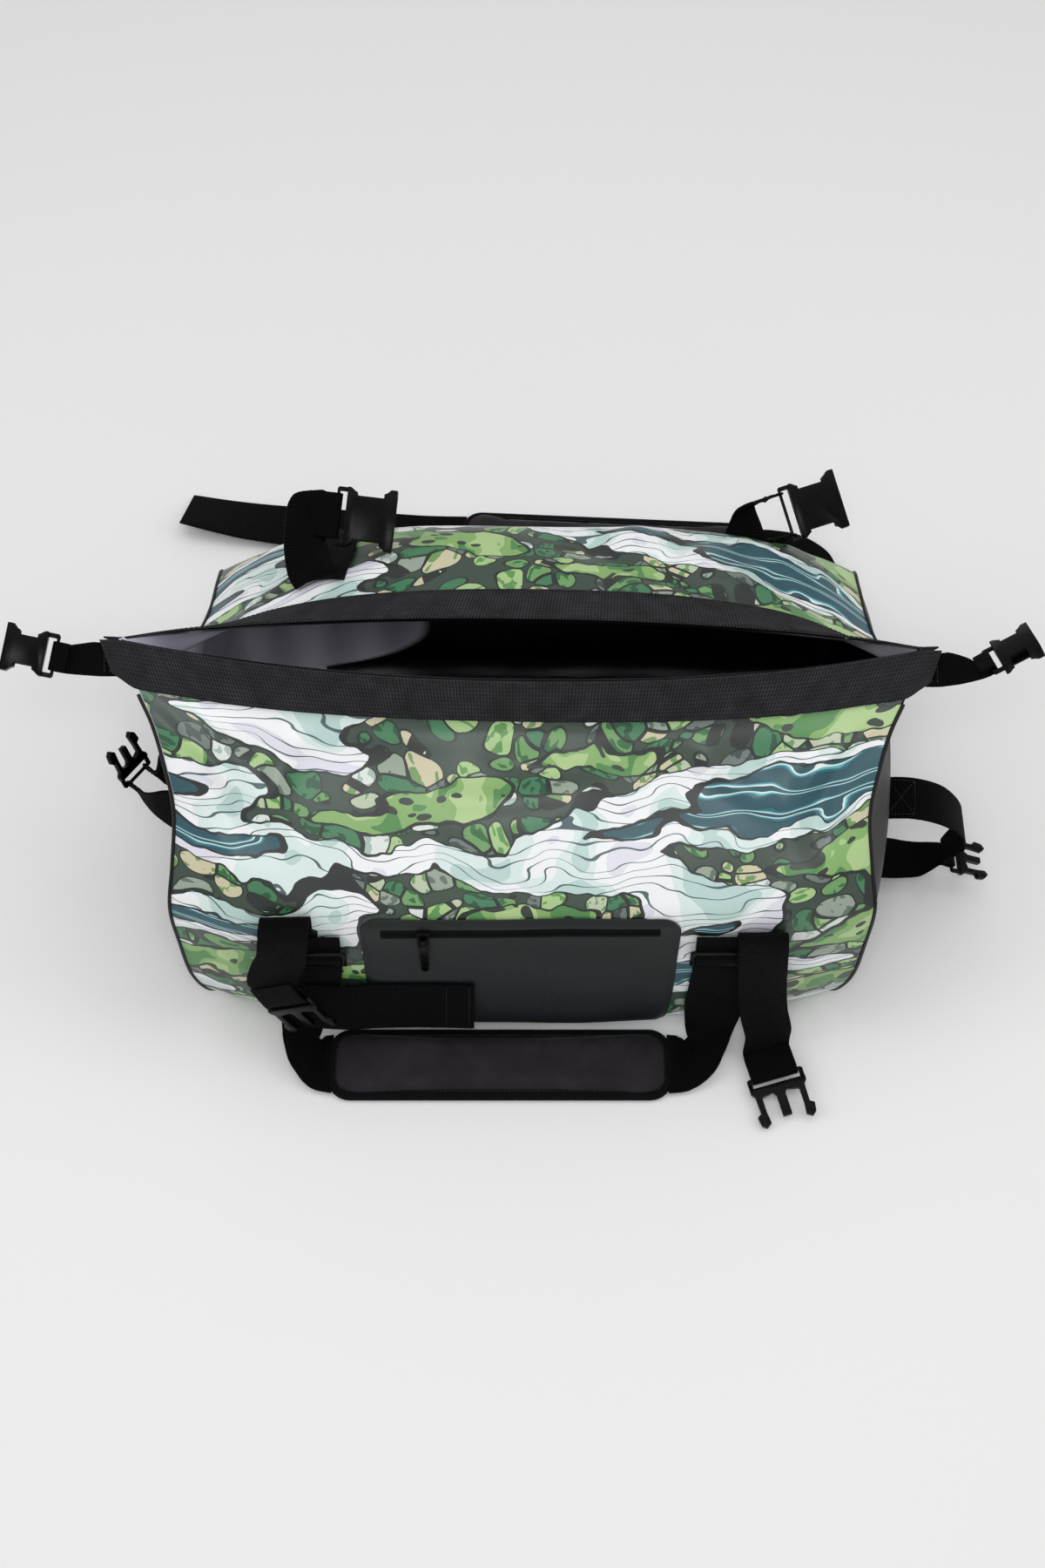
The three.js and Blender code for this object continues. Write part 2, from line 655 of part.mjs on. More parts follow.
// The socket half: a waisted sleeve, open at the far end, with a window in each waist.
function socketGeometry(width, thickness) {
  const half = width / 2 + barSide;
  const length = width * 0.62 + 22;
  const neck = slotEnd + bar;
  const outline = mirrored([
    [half - 1.5, -bar / 2],
    [half, 0],
    [half, neck],
    [half - 3, neck + 4],
    [half - 4.5, neck + (length - neck) * 0.5],
    [half - 2, length - 8],
    [half + 1, length - 5],
    [half + 1, length],
  ]);
  const skin = 1.8;
  return cutAway(platePiece(outline, [slotFor(width)], thickness), [
    [-half + skin + 2, neck + 1, -thickness / 2 + skin, half - skin - 2, length + 1, thickness / 2 - skin],
    [half - 6, neck + 5, -thickness, half + 2, length - 10, thickness],
    [-half - 2, neck + 5, -thickness, -half + 6, length - 10, thickness],
    ...thinEnd(half, thickness),
  ]);
}

// The plug half: a base with its webbing slot, a middle guide and two sprung arms with hooked tips.
function plugGeometry(width, thickness) {
  const half = width / 2 + barSide;
  const base = slotEnd + bar * 1.5;
  const tip = base + width * 0.42 + 14;
  const arm = half * 0.2;
  const guide = half * 0.16;
  const outline = mirrored([
    [half - 1.5, -bar / 2],
    [half, 0],
    [half, base],
    [half - 2.5, base + 3],
    [half - 3, tip - 12],
    [half + 0.5, tip - 10],
    [half - 0.5, tip - 3],
    [half - 4, tip],
    [half - 4 - arm, tip - 3],
    [half - 3 - arm, tip - 12],
    [half - 3 - arm, base + 5],
    [guide + 2, base + 3],
    [guide, base + 6],
    [guide, tip - 6],
  ]);
  return cutAway(platePiece(outline, [slotFor(width)], thickness), thinEnd(half, thickness));
}

// A slide: a frame with three bars, its middle one along x through the origin.
const slidePitch = 9.5;
function slideGeometry(width) {
  const half = width / 2 + barSide;
  const reach = slidePitch + bar / 2;
  const inside = width / 2 + 0.5;
  const outline = mirrored([
    [half - 2, -reach],
    [half, -reach + 2],
    [half, reach - 2],
    [half - 2, reach],
  ]);
  const slots = [
    [-inside, -slidePitch + bar / 2, inside, -bar / 2],
    [-inside, bar / 2, inside, slidePitch - bar / 2],
  ];
  return platePiece(outline, slots, bar);
}

// Sets a piece down with its bar at a point, its width along one direction and its length along another.
function setDown(name, geometry, at, across, along) {
  const mesh = add(name, geometry, mouldedPlastic);
  const y = along.clone().normalize();
  const x = across.clone().addScaledVector(y, -across.dot(y)).normalize();
  const z = x.clone().cross(y);
  mesh.quaternion.setFromRotationMatrix(new THREE.Matrix4().makeBasis(x, y, z));
  mesh.position.copy(at);
  return { x, y, z };
}

// Webbing passes round a square bar this far from the bar's middle, and lies doubled this far apart.
const turn = bar * Math.SQRT1_2 + layerGap + webThickness / 2;
const doubled = (webThickness + layerGap) / 2;
const doubledRun = 22;

// Webbing that comes up to a buckle, turns round its bar and is sewn back on itself.
function sewnLoop(at, across, along, wide = 1) {
  const axis = across.clone().normalize();
  const from = along.clone().normalize();
  axis.addScaledVector(from, -axis.dot(from)).normalize();
  const side = axis.clone().cross(from).normalize();
  const off = (back, lift) => ({
    at: at.clone().addScaledVector(from, -back).addScaledVector(side, lift),
    across: axis,
    wide,
  });
  const into = [off(doubledRun, doubled), off(doubledRun / 2.4, turn * 0.9)];
  const back = [off(doubledRun / 2.4, -turn * 0.9), off(doubledRun, -doubled)];
  return [...into, ...roundBar(at, axis, from, turn, wide), ...back];
}

// Rim tabs: narrow webbing held between the ends of the rim bands, each looped through a socket.
const tabEnds = [
  {
    name: "left",
    end: -1,
    column: 0,
    reach: vec(-0.97, 0.1, 0.22),
    width: vec(0.3, -0.83, -0.47),
    out: 9,
    lift: 2,
    drop: 1,
  },
  {
    name: "right",
    end: 1,
    column: columns,
    reach: vec(0.87, 0.3, 0.4),
    width: vec(-0.1, 0.9, -0.45),
    out: 10,
    lift: 5,
    drop: 1,
  },
];
for (const tab of tabEnds) {
  const lip = frontGrid[tab.column][0];
  const foot = frontGrid[tab.column][bandRows];
  const away = vec(tab.end, 0, 0);
  const across = lip.clone().sub(foot).setX(0).normalize().multiplyScalar(tab.end);
  const face = away.clone().cross(across);
  const under = face.clone().multiplyScalar(face.z > 0 ? -1 : 1);
  const start = lip.clone().lerp(foot, 0.42).setX(lip.x);
  const place = (out, drop, lift) =>
    start.clone().addScaledVector(away, out).addScaledVector(under, drop).add(vec(0, 0, lift));
  const barAt = place(rimBandOverrun + tabLength + tab.out, 0, tab.lift * 2);
  const path = [
    { at: place(1.6, tab.drop, 0), across },
    { at: place(rimBandOverrun, tab.drop, 0), across },
    { at: place(rimBandOverrun + 6, tab.drop, tab.lift * 0.3), across },
    ...sewnLoop(barAt, tab.width, tab.reach, 0.86).slice(1, -1),
  ];
  webbingStrip(`rim_tab_${tab.name}`, tabWidth, path, { rests: false });
  const socket = socketGeometry(tabWidth, tabBuckleThickness);
  setDown(`rim_buckle_${tab.name}`, socket, barAt, tab.width, tab.reach);
}

// End handles: a loop of webbing on each end panel, gathered through the bar of a plug.
const handleWidth = 38;
const gathered = (0.86 * tabWidth) / handleWidth;
const handles = [
  {
    name: "left",
    end: -1,
    column: 0,
    rise: [
      { out: 0.8, up: 0.775, y: -20, wide: 1 },
      { out: 12, up: 0.79, y: -20, wide: 1 },
      { out: 27, up: 0.76, y: -20, wide: 0.9 },
    ],
    barAt: { out: 46, up: 0.655, y: -11 },
    width: vec(0.55, 0.79, -0.27),
    reach: vec(-0.32, 0.354, 0.879),
    wrap: vec(-0.85, 0.2, 0.3),
    fall: [
      { out: 30, up: 0.54, y: -22, wide: 0.85 },
      { out: 16, up: 0.455, y: -24, wide: 1 },
      { out: 0.8, up: 0.44, y: -24, wide: 1 },
    ],
  },
  {
    name: "right",
    end: 1,
    column: columns,
    rise: [
      { out: 0.8, up: 0.68, y: -35, wide: 1 },
      { out: 22, up: 0.7, y: -37, wide: 1 },
      { out: 48, up: 0.66, y: -40, wide: 1 },
      { out: 68, up: 0.54, y: -43, wide: 0.9 },
      { out: 73, up: 0.41, y: -45, wide: 0.8 },
    ],
    barAt: { out: 74, up: 0.22, y: -46 },
    width: vec(0, -1, 0.02),
    reach: vec(0.9, 0, -0.42),
    wrap: vec(0.9, 0, -0.42),
    fall: [
      { out: 52, up: 0.17, y: -46, wide: 0.85 },
      { out: 28, up: 0.16, y: -44, wide: 1 },
      { out: 0.8, up: 0.17, y: -42, wide: 1 },
    ],
  },
];
// A place off an end panel: millimetres outwards from its face, a share of the wall height, and y.
function offEnd(grid, end, out, up, y) {
  const flat = (p) => vec(0, p.y, p.z);
  const target = vec(0, y, up * wallHeight);
  for (let k = 0; k < endColumns; k++) {
    for (let j = 0; j < rows; j++) {
      const corners = [grid[k][j], grid[k + 1][j], grid[k + 1][j + 1], grid[k][j + 1]];
      for (const [a, b, c] of [[0, 1, 2], [0, 2, 3]]) {
        const three = [corners[a], corners[b], corners[c]];
        const share = new THREE.Triangle(...three.map(flat)).getBarycoord(target, vec(0, 0, 0));
        if (share === null || Math.min(share.x, share.y, share.z) < 0) continue;
        const x = three[0].x * share.x + three[1].x * share.y + three[2].x * share.z;
        return target.setX(x + end * out);
      }
    }
  }
  throw new Error(`no end panel at height ${target.z} and y ${y}`);
}
for (const handle of handles) {
  const grid = handle.end < 0 ? leftGrid : rightGrid;
  const at = (r) => offEnd(grid, handle.end, r.out, r.up, r.y);
  const reach = handle.reach.clone().normalize();
  const axis = handle.width.clone().addScaledVector(reach, -handle.width.dot(reach)).normalize();
  const flat = vec(0, Math.sign(axis.y), 0);
  const armRows = (table) => table.map((r) => ({ at: at(r), across: flat, wide: r.wide }));
  const centre = at(handle.barAt);
  const from = handle.wrap.clone().addScaledVector(axis, -handle.wrap.dot(axis)).normalize();
  const loop = sewnLoop(centre, axis, from, gathered).slice(1, -1);
  const path = [...armRows(handle.rise), ...loop, ...armRows(handle.fall)];
  webbingStrip(`end_handle_${handle.name}`, handleWidth, path, { clear: layerGap / 2 });
  setDown(`end_buckle_${handle.name}`, plugGeometry(tabWidth, plugThickness), centre, axis, handle.reach);
}

// Compression straps at the front corners: from the wall up over a fold and down to a plug.
const frontStraps = [
  {
    name: "left",
    rows: [
      { along: -0.68, up: 0.7, out: 1.4, ax: 1, ay: 0, az: 0 },
      { along: -0.68, up: 0.86, out: 1.8, ax: 1, ay: 0, az: 0 },
      { along: -0.68, up: 0.985, out: 4.5, ax: 1, ay: 0, az: 0.05 },
      { along: -0.682, up: 1.0, out: 11, ax: 1, ay: 0, az: 0.1 },
      { along: -0.688, up: 0.93, out: 16, ax: 1, ay: 0, az: 0.15 },
      { along: -0.7, up: 0.8, out: 18, ax: 0.95, ay: 0, az: 0.25 },
    ],
    barAt: { along: -0.7, up: 0.5, out: 24 },
    width: vec(0.85, -0.1, 0.5),
    reach: vec(0.49, -0.19, -0.85),
  },
  {
    name: "right",
    rows: [
      { along: 0.695, up: 0.68, out: 1.4, ax: 1, ay: 0, az: 0 },
      { along: 0.695, up: 0.8, out: 1.6, ax: 1, ay: 0, az: 0 },
      { along: 0.695, up: 0.885, out: 4, ax: 1, ay: 0, az: 0 },
      { along: 0.695, up: 0.9, out: 11, ax: 1, ay: 0, az: 0 },
      { along: 0.698, up: 0.8, out: 15, ax: 1, ay: -0.02, az: 0 },
      { along: 0.71, up: 0.55, out: 16, ax: 1, ay: 0.05, az: 0 },
      { along: 0.73, up: 0.3, out: 20, ax: 1, ay: 0.15, az: 0 },
      { along: 0.75, up: 0.16, out: 27, ax: 1, ay: 0.22, az: 0.05 },
    ],
    barAt: { along: 0.77, up: 0.042, out: 57 },
    width: vec(0.95, 0.28, 0.1),
    reach: vec(0.25, -0.96, -0.02),
  },
];
for (const strap of frontStraps) {
  const centre = offWall("front", strap.barAt.along, strap.barAt.up, strap.barAt.out);
  const loop = sewnLoop(centre, strap.width, strap.reach);
  webbingStrip(`strap_front_${strap.name}`, strapWidth, [...wallRows("front", strap.rows), ...loop]);
  const plug = plugGeometry(strapWidth, plugThickness);
  setDown(`buckle_front_${strap.name}`, plug, centre, strap.width, strap.reach);
}

// Compression straps at the back corners: from the back edge up to a socket.
const onBack = (r) => onCloth(backGrid, columnOf(r.along * bodyHalfLength - backSkew), r.down, r.out);
const backStraps = [
  {
    name: "left",
    rows: [
      { along: -0.575, down: 6.4, out: 1.9, ax: 1, ay: 0, az: 0 },
      { along: -0.575, down: 5.8, out: 1.9, ax: 1, ay: 0, az: 0 },
      { along: -0.575, down: 5.2, out: 1.9, ax: 1, ay: 0, az: 0 },
      { along: -0.575, down: 4.4, out: 1.9, ax: 1, ay: 0, az: 0 },
      { along: -0.575, down: 3.4, out: 2.2, ax: 1, ay: 0, az: 0 },
      { along: -0.575, down: 3.15, out: 7, ax: 1, ay: 0, az: 0 },
      { along: -0.595, down: 3.35, out: 15, ax: 0.85, ay: -0.45, az: -0.25, wide: 0.95 },
    ],
    barAt: { along: -0.527, down: 4.5, out: 34.4 },
    width: vec(0.26, -0.83, -0.48),
    reach: vec(0.98, -0.1, -0.06),
  },
  {
    name: "right",
    rows: [
      { along: 0.7, down: 8.6, out: 1.6, ax: 1, ay: 0, az: 0 },
      { along: 0.705, down: 7.8, out: 2.4, ax: 1, ay: 0, az: 0 },
      { along: 0.715, down: 7.1, out: 8, ax: 0.95, ay: -0.2, az: -0.12 },
      { along: 0.718, down: 6.8, out: 14, ax: 0.8, ay: -0.45, az: -0.28, wide: 0.95 },
    ],
    barAt: { along: 0.801, down: 6.7, out: 26.6 },
    width: vec(0.29, -0.83, -0.48),
    reach: vec(0.95, 0.26, 0.15),
  },
];
for (const strap of backStraps) {
  const rowsOf = strap.rows.map((r) => row(onBack(r), r.ax, r.ay, r.az, r.wide));
  const centre = onBack(strap.barAt);
  const loop = sewnLoop(centre, strap.width, strap.reach, 0.92);
  webbingStrip(`strap_back_${strap.name}`, strapWidth, [...rowsOf, ...loop], { clear: 1.5 * restGap });
  const socket = socketGeometry(strapWidth, strapBuckleThickness);
  setDown(`buckle_back_${strap.name}`, socket, centre, strap.width, strap.reach);
}

// Shoulder straps. Each runs from the wall, through a slide, to the end of a pad on the floor.
const floorAt = (along, out, height) => vec(along * bodyHalfLength, -bodyHalfDepth - out, height);
const floorRows = (table) =>
  table.map((r) => row(floorAt(r.along, r.out, r.height), r.ax, r.ay, r.az, r.wide));
const floorWeb = floorGap + webThickness / 2;
const weave = turn + 0.6;
const shoulderStraps = [
  {
    name: "left",
    sign: -1,
    root: { along: -0.625, up: 0.86, out: 3.9, ax: 1, ay: 0, az: 0 },
    slideAt: { along: -0.625, up: 0.72, out: 8.4 },
    rows: [
      { along: -0.628, up: 0.6, out: 5.6, ax: 1, ay: 0, az: 0 },
      { along: -0.635, up: 0.45, out: 6.5, ax: 1, ay: 0, az: 0, wide: 0.95 },
      { along: -0.645, up: 0.3, out: 7.5, ax: 1, ay: 0.05, az: 0, wide: 0.9 },
      { along: -0.67, up: 0.16, out: 15, ax: 0.9, ay: 0.3, az: 0, wide: 0.7 },
    ],
    floor: [
      { along: -0.675, out: 34, height: 15, ax: 0.6, ay: 0.8, az: 0.1, wide: 0.6 },
      { along: -0.65, out: 44, height: 8, ax: 0.2, ay: 1, az: 0.05, wide: 0.7 },
      { along: -0.62, out: 48, height: 5.4, ax: 0, ay: 1, az: 0, wide: 0.9 },
      { along: -0.5945, out: 48, height: 5, ax: 0, ay: 1, az: 0 },
    ],
  },
  {
    name: "right",
    sign: 1,
    root: { along: 0.6, up: 0.86, out: 4.2, ax: 1, ay: 0, az: 0 },
    slideAt: { along: 0.6, up: 0.72, out: 8.4 },
    rows: [
      { along: 0.598, up: 0.6, out: 5.6, ax: 1, ay: 0, az: 0 },
      { along: 0.592, up: 0.45, out: 6.5, ax: 1, ay: 0, az: 0 },
      { along: 0.58, up: 0.3, out: 7.5, ax: 1, ay: -0.05, az: 0, wide: 0.95 },
      { along: 0.57, up: 0.16, out: 13, ax: 0.9, ay: -0.3, az: 0, wide: 0.8 },
    ],
    floor: [
      { along: 0.56, out: 36, height: 13, ax: 0.6, ay: -0.8, az: 0.1, wide: 0.7 },
      { along: 0.53, out: 45, height: 7, ax: 0.2, ay: -1, az: 0.05, wide: 0.8 },
      { along: 0.49, out: 48, height: 5.2, ax: 0, ay: -1, az: 0, wide: 0.95 },
      { along: 0.457, out: 48, height: 5, ax: 0, ay: -1, az: 0 },
    ],
  },
];
for (const strap of shoulderStraps) {
  const centre = offWall("front", strap.slideAt.along, strap.slideAt.up, strap.slideAt.out);
  const upwards = vec(0, 0, 1);
  const bars = [1, 0, -1].map((bars) =>
    row(centre.clone().add(vec(0, bars === 0 ? -weave : weave, bars * slidePitch)), 1, 0, 0),
  );
  const path = [...wallRows("front", [strap.root]), ...bars, ...wallRows("front", strap.rows)];
  webbingStrip(`front_strap_${strap.name}`, padWebWidth, [...path, ...floorRows(strap.floor)], { steps: 3 });
  setDown(`front_slide_${strap.name}`, slideGeometry(padWebWidth), centre, vec(1, 0, 0), upwards);
}

// The free end of the left shoulder strap, lying on its edge along the wall behind the pad.
const tailTable = [
  { along: -0.655, up: 0.36, out: 14.7 },
  { along: -0.53, up: 0.355, out: 14 },
  { along: -0.43, up: 0.35, out: 10.9 },
  { along: -0.33, up: 0.35, out: 9.6 },
  { along: -0.145, up: 0.345, out: 9.6 },
].map((r) => ({ ...r, ax: 0, ay: -0.32, az: -0.95 }));
webbingStrip("front_strap_tail", padWebWidth, wallRows("front", tailTable), { steps: 4 });

// The pads: a flat bound edge and a raised middle, built as rounded rings from the foot up.
const padRings = [
  { inset: 1.4, height: 0 },
  { inset: 0, height: 1.2 },
  { inset: 0, height: 4.4 },
  { inset: 1.2, height: 5.4 },
  { inset: padEdge, height: 5.6 },
  { inset: padEdge + 2.5, height: 8.6 },
  { inset: padEdge + 8, height: padHeight - floorGap },
];
const padCornerSteps = 3;
const padSideSteps = 4;
function padGeometry() {
  const positions = [];
  const index = [];
  const ring = (inset) => {
    const half = { x: padLength / 2 - inset, y: padWidth / 2 - inset };
    const round = Math.max(padCorner - inset, 2);
    const list = [];
    for (const [sx, sy, start] of [[1, 1, 0], [-1, 1, 1], [-1, -1, 2], [1, -1, 3]]) {
      for (let k = 0; k <= padCornerSteps; k++) {
        const angle = (Math.PI / 2) * (start + k / padCornerSteps);
        const x = sx * (half.x - round) + Math.cos(angle) * round;
        const y = sy * (half.y - round) + Math.sin(angle) * round;
        list.push([x, y]);
      }
    }
    const full = [];
    list.forEach(([x, y], n) => {
      const [x1, y1] = list[(n + 1) % list.length];
      const steps = Math.abs(x1 - x) > padWidth ? padSideSteps : 1;
      for (let k = 0; k < steps; k++) full.push([mix(x, x1, k / steps), mix(y, y1, k / steps)]);
    });
    return full;
  };
  for (const { inset, height } of padRings) {
    for (const [x, y] of ring(inset)) positions.push(x, y, height);
  }
  const around = ring(0).length;
  for (let r = 0; r < padRings.length - 1; r++) {
    for (let n = 0; n < around; n++) {
      const m = (n + 1) % around;
      const [a, b] = [r * around + n, r * around + m];
      index.push(a, b, b + around, a, b + around, a + around);
    }
  }
  const foot = positions.length / 3;
  positions.push(0, 0, padRings[0].height, 0, 0, padRings[padRings.length - 1].height);
  const top = (padRings.length - 1) * around;
  for (let n = 0; n < around; n++) {
    const m = (n + 1) % around;
    index.push(foot, m, n, foot + 1, top + n, top + m);
  }
  const geometry = new THREE.BufferGeometry();
  geometry.setAttribute("position", new THREE.Float32BufferAttribute(positions, 3));
  geometry.setIndex(index);
  return geometry;
}
const frontPadAt = floorAt(-0.0687, 48, floorGap);
const frontPad = add("front_pad", padGeometry(), padCloth);
frontPad.position.copy(frontPadAt);

// The back pad with its webbing, lying on the floor behind the bag.
const backPadTurn = (-3 * Math.PI) / 180;
const backPadOut = 126;
const backPadAlong = 0.31;
const backPad = add("back_pad", padGeometry(), padCloth);
backPad.position.set(backPadAlong * bodyHalfLength, bodyHalfDepth + backPadOut, floorGap);
backPad.rotation.z = backPadTurn;
const backFloor = (r) =>
  row(vec(r.along * bodyHalfLength, bodyHalfDepth + r.out, r.height), r.ax, r.ay, r.az);
const backLeftRun = [
  { along: -0.2165, out: 133.6, height: 3, ax: 0, ay: -1, az: 0 },
  { along: -0.35, out: 136, height: floorWeb, ax: 0, ay: -1, az: 0 },
  { along: -0.57, out: 141, height: floorWeb + 1.5, ax: 0, ay: -1, az: 0.05 },
  { along: -0.8, out: 146, height: floorWeb + 3.3, ax: 0, ay: -1, az: 0.12 },
  { along: -1.0, out: 152, height: floorWeb + 5.8, ax: -0.03, ay: -1, az: 0.22 },
  { along: -1.2, out: 162, height: floorWeb + 9.4, ax: -0.05, ay: -1, az: 0.38 },
];
webbingStrip("back_strap_left", padWebWidth, backLeftRun.map(backFloor));
const backRightRun = [
  { along: 0.8395, out: 118.6, height: 3, ax: 0, ay: 1, az: 0 },
  { along: 0.93, out: 115, height: 4, ax: 0.25, ay: 1, az: 0 },
  { along: 1.0, out: 99, height: 8, ax: 0.8, ay: 0.7, az: 0 },
  { along: 1.01, out: 68, height: 14, ax: 1, ay: 0.1, az: 0 },
  { along: 0.97, out: 34, height: 32, ax: 1, ay: 0, az: 0 },
  { along: 0.93, out: 12, height: 62, ax: 1, ay: 0, az: 0 },
];
const backRightRoot = [
  { along: 0.9, up: 0.56, out: 3, ax: 1, ay: 0, az: 0 },
  { along: 0.89, up: 0.7, out: 2, ax: 1, ay: 0, az: 0 },
];
webbingStrip("back_strap_right", padWebWidth, [
  ...backRightRun.map(backFloor),
  ...wallRows("back", backRightRoot),
]);

// The zip's slider, with two lugs and a pin, and the pull that swings on the pin.
const slider = { halfWidth: 4.5, halfLength: 7, thickness: 2.6 };
const lug = { inside: 2.6, outside: 4.2, low: -3, high: 2, top: 7.6 };
const pin = { radius: 1.1, height: 6.2, sides: 12 };
const eye = { outer: 3.1, hole: 1.55, width: 4.4 };
const pullLean = 0.01;
const pull = { length: 46, neck: 5.4, halfWidth: 3.6, halfNeck: 2.2, thickness: 2, start: 2.2 };
const barAcross = (radius, length, height) => {
  const rod = new THREE.CylinderGeometry(radius, radius, length, pin.sides);
  return rod.rotateZ(Math.PI / 2).translate(0, 0, height);
};
const boxBetween = (x0, y0, z0, x1, y1, z1) =>
  new THREE.BoxGeometry(x1 - x0, y1 - y0, z1 - z0).translate((x0 + x1) / 2, (y0 + y1) / 2, (z0 + z1) / 2);
function joined(pieces, holes = []) {
  let body = pieces.map(toManifold).reduce((a, b) => a.add(b));
  for (const hole of holes) body = body.subtract(toManifold(hole));
  return fromManifold(body);
}
const sliderPiece = joined([
  boxBetween(-slider.halfWidth, -slider.halfLength, 0, slider.halfWidth, slider.halfLength, slider.thickness),
  ...[-1, 1].map((side) => {
    const [near, far] = [side * lug.inside, side * lug.outside].sort((a, b) => a - b);
    return boxBetween(near, lug.low, slider.thickness / 2, far, lug.high, lug.top);
  }),
  barAcross(pin.radius, lug.inside + lug.outside, pin.height),
]);
const pullOutline = mirrored([
  [pull.halfNeck, -pull.start],
  [pull.halfNeck, -pull.neck],
  [pull.halfWidth, -pull.neck - 3],
  [pull.halfWidth - 0.8, -pull.length + 2],
  [pull.halfWidth - 2.4, -pull.length],
]);
const pullPiece = joined(
  [barAcross(eye.outer, eye.width, 0), platePiece(pullOutline, [], pull.thickness)],
  [barAcross(eye.hole, eye.width + 2, 0)],
);
const zipMiddleRow = (zipTopRow + zipRows[zipRows.length - 1]) / 2;
const onZip = (raise) => onCloth(frontGrid, columnOf(sliderPlace), zipMiddleRow, raise);
const sliderBase = zipRaise + zipThickness + seat;
const wallUp = onCloth(frontGrid, columnOf(sliderPlace), zipMiddleRow - 0.3, 0)
  .sub(onCloth(frontGrid, columnOf(sliderPlace), zipMiddleRow + 0.3, 0))
  .setX(0);
const sliderFrame = setDown("zip_slider", sliderPiece, onZip(sliderBase), vec(1, 0, 0), wallUp);
const pinAt = onZip(sliderBase).addScaledVector(sliderFrame.z, pin.height);
setDown("zip_pull", pullPiece, pinAt, vec(1, 0, 0), vec(0, pullLean, 1));

export default bag;
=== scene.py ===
# %% [markdown]
# # Roll-top duffel dry bag
# A dry bag is a tube of coated cloth, welded at its seams, with a mouth that is rolled shut. Here it
# stands open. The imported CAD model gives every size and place. This script loads it, then makes the
# cloth, webbing, pads and buckles that are seen, in the same frame and in metres.

import bpy
import math
import numpy as np
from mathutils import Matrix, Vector


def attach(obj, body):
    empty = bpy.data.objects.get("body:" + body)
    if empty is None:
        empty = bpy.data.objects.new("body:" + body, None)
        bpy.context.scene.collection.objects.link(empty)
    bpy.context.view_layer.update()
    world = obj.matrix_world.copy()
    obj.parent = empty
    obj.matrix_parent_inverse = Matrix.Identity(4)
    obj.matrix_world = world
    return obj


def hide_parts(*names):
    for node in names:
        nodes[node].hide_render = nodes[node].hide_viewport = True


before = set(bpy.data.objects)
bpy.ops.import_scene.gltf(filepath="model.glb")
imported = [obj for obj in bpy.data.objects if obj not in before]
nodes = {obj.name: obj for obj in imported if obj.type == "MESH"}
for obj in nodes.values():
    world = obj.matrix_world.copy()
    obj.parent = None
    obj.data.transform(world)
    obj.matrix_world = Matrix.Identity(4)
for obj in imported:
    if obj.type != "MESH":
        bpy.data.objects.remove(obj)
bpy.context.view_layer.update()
MM = 0.001

# %% [markdown]
# ## Small helpers
# Colours are written as the hex values that a painter would read off a swatch, which are sRGB, and one
# function turns them to the linear values that Blender mixes light with. One more function adds a
# shader node with its settings and links. Everything is deselected before each primitive is added.

# %% Helpers
MIX, MATH, RAMP = "ShaderNodeMix", "ShaderNodeMath", "ShaderNodeValToRGB"
NOISE, CELLS, MAPPING = "ShaderNodeTexNoise", "ShaderNodeTexVoronoi", "ShaderNodeMapping"
VECTOR, RANGE, BUMP = "ShaderNodeVectorMath", "ShaderNodeMapRange", "ShaderNodeBump"
SPLIT, SHADER, COLOURS = "ShaderNodeSeparateXYZ", "ShaderNodeBsdfPrincipled", {"data_type": "RGBA"}


def linear(code):
    channels = [int(code[i:i + 2], 16) / 255 for i in (1, 3, 5)]
    return tuple(c / 12.92 if c <= 0.04045 else ((c + 0.055) / 1.055) ** 2.4 for c in channels) + (1.0,)


def add_node(tree, kind, settings=None, inputs=None):
    """Settings may be the operation alone, and an input may be a node, which gives its first output."""
    made = tree.nodes.new(kind)
    if isinstance(settings, str):
        settings = {"operation": settings}
    for name, value in (settings or {}).items():
        setattr(made, name, value)
    for name, value in (inputs or {}).items():
        if isinstance(value, bpy.types.Node):
            value = value.outputs[0]
        if isinstance(value, bpy.types.NodeSocket):
            tree.links.new(value, made.inputs[name])
        else:
            made.inputs[name].default_value = value
    return made


def new_material(name):
    made = bpy.data.materials.new(name)
    made.use_nodes = True
    made.node_tree.nodes.clear()
    return made, made.node_tree


def finish_material(tree, shader):
    add_node(tree, "ShaderNodeOutputMaterial", None, {"Surface": shader.outputs["BSDF"]})


def only(obj):
    if bpy.context.object and bpy.context.object.mode != "OBJECT":
        bpy.ops.object.mode_set(mode="OBJECT")
    bpy.ops.object.select_all(action="DESELECT")
    obj.select_set(True)
    bpy.context.view_layer.objects.active = obj


def edit_all(piece):
    only(piece)
    bpy.ops.object.mode_set(mode="EDIT")
    bpy.ops.mesh.select_all(action="SELECT")


def lengths_along(path):
    """How far along a path each of its points lies."""
    return np.concatenate([[0], np.cumsum(np.linalg.norm(np.diff(path, axis=0), axis=1))])


def coordinates(mesh):
    """The places of a mesh's vertices, in metres."""
    places = np.empty(len(mesh.vertices) * 3)
    mesh.vertices.foreach_get("co", places)
    return places.reshape(-1, 3)


def apply_modifier(obj, name, kind, **settings):
    only(obj)
    made = obj.modifiers.new(name, kind)
    for key, value in settings.items():
        setattr(made, key, value)
    bpy.ops.object.modifier_apply(modifier=name)


# %% [markdown]
# ## Camera, light and floor
# The bag is seen from the front and well above, 60 degrees over the horizon, with a lens long enough
# to keep its sides nearly parallel. A pale floor and wide soft lights give the even look of a product
# picture, and the coated cloth picks up the lights as broad highlights.

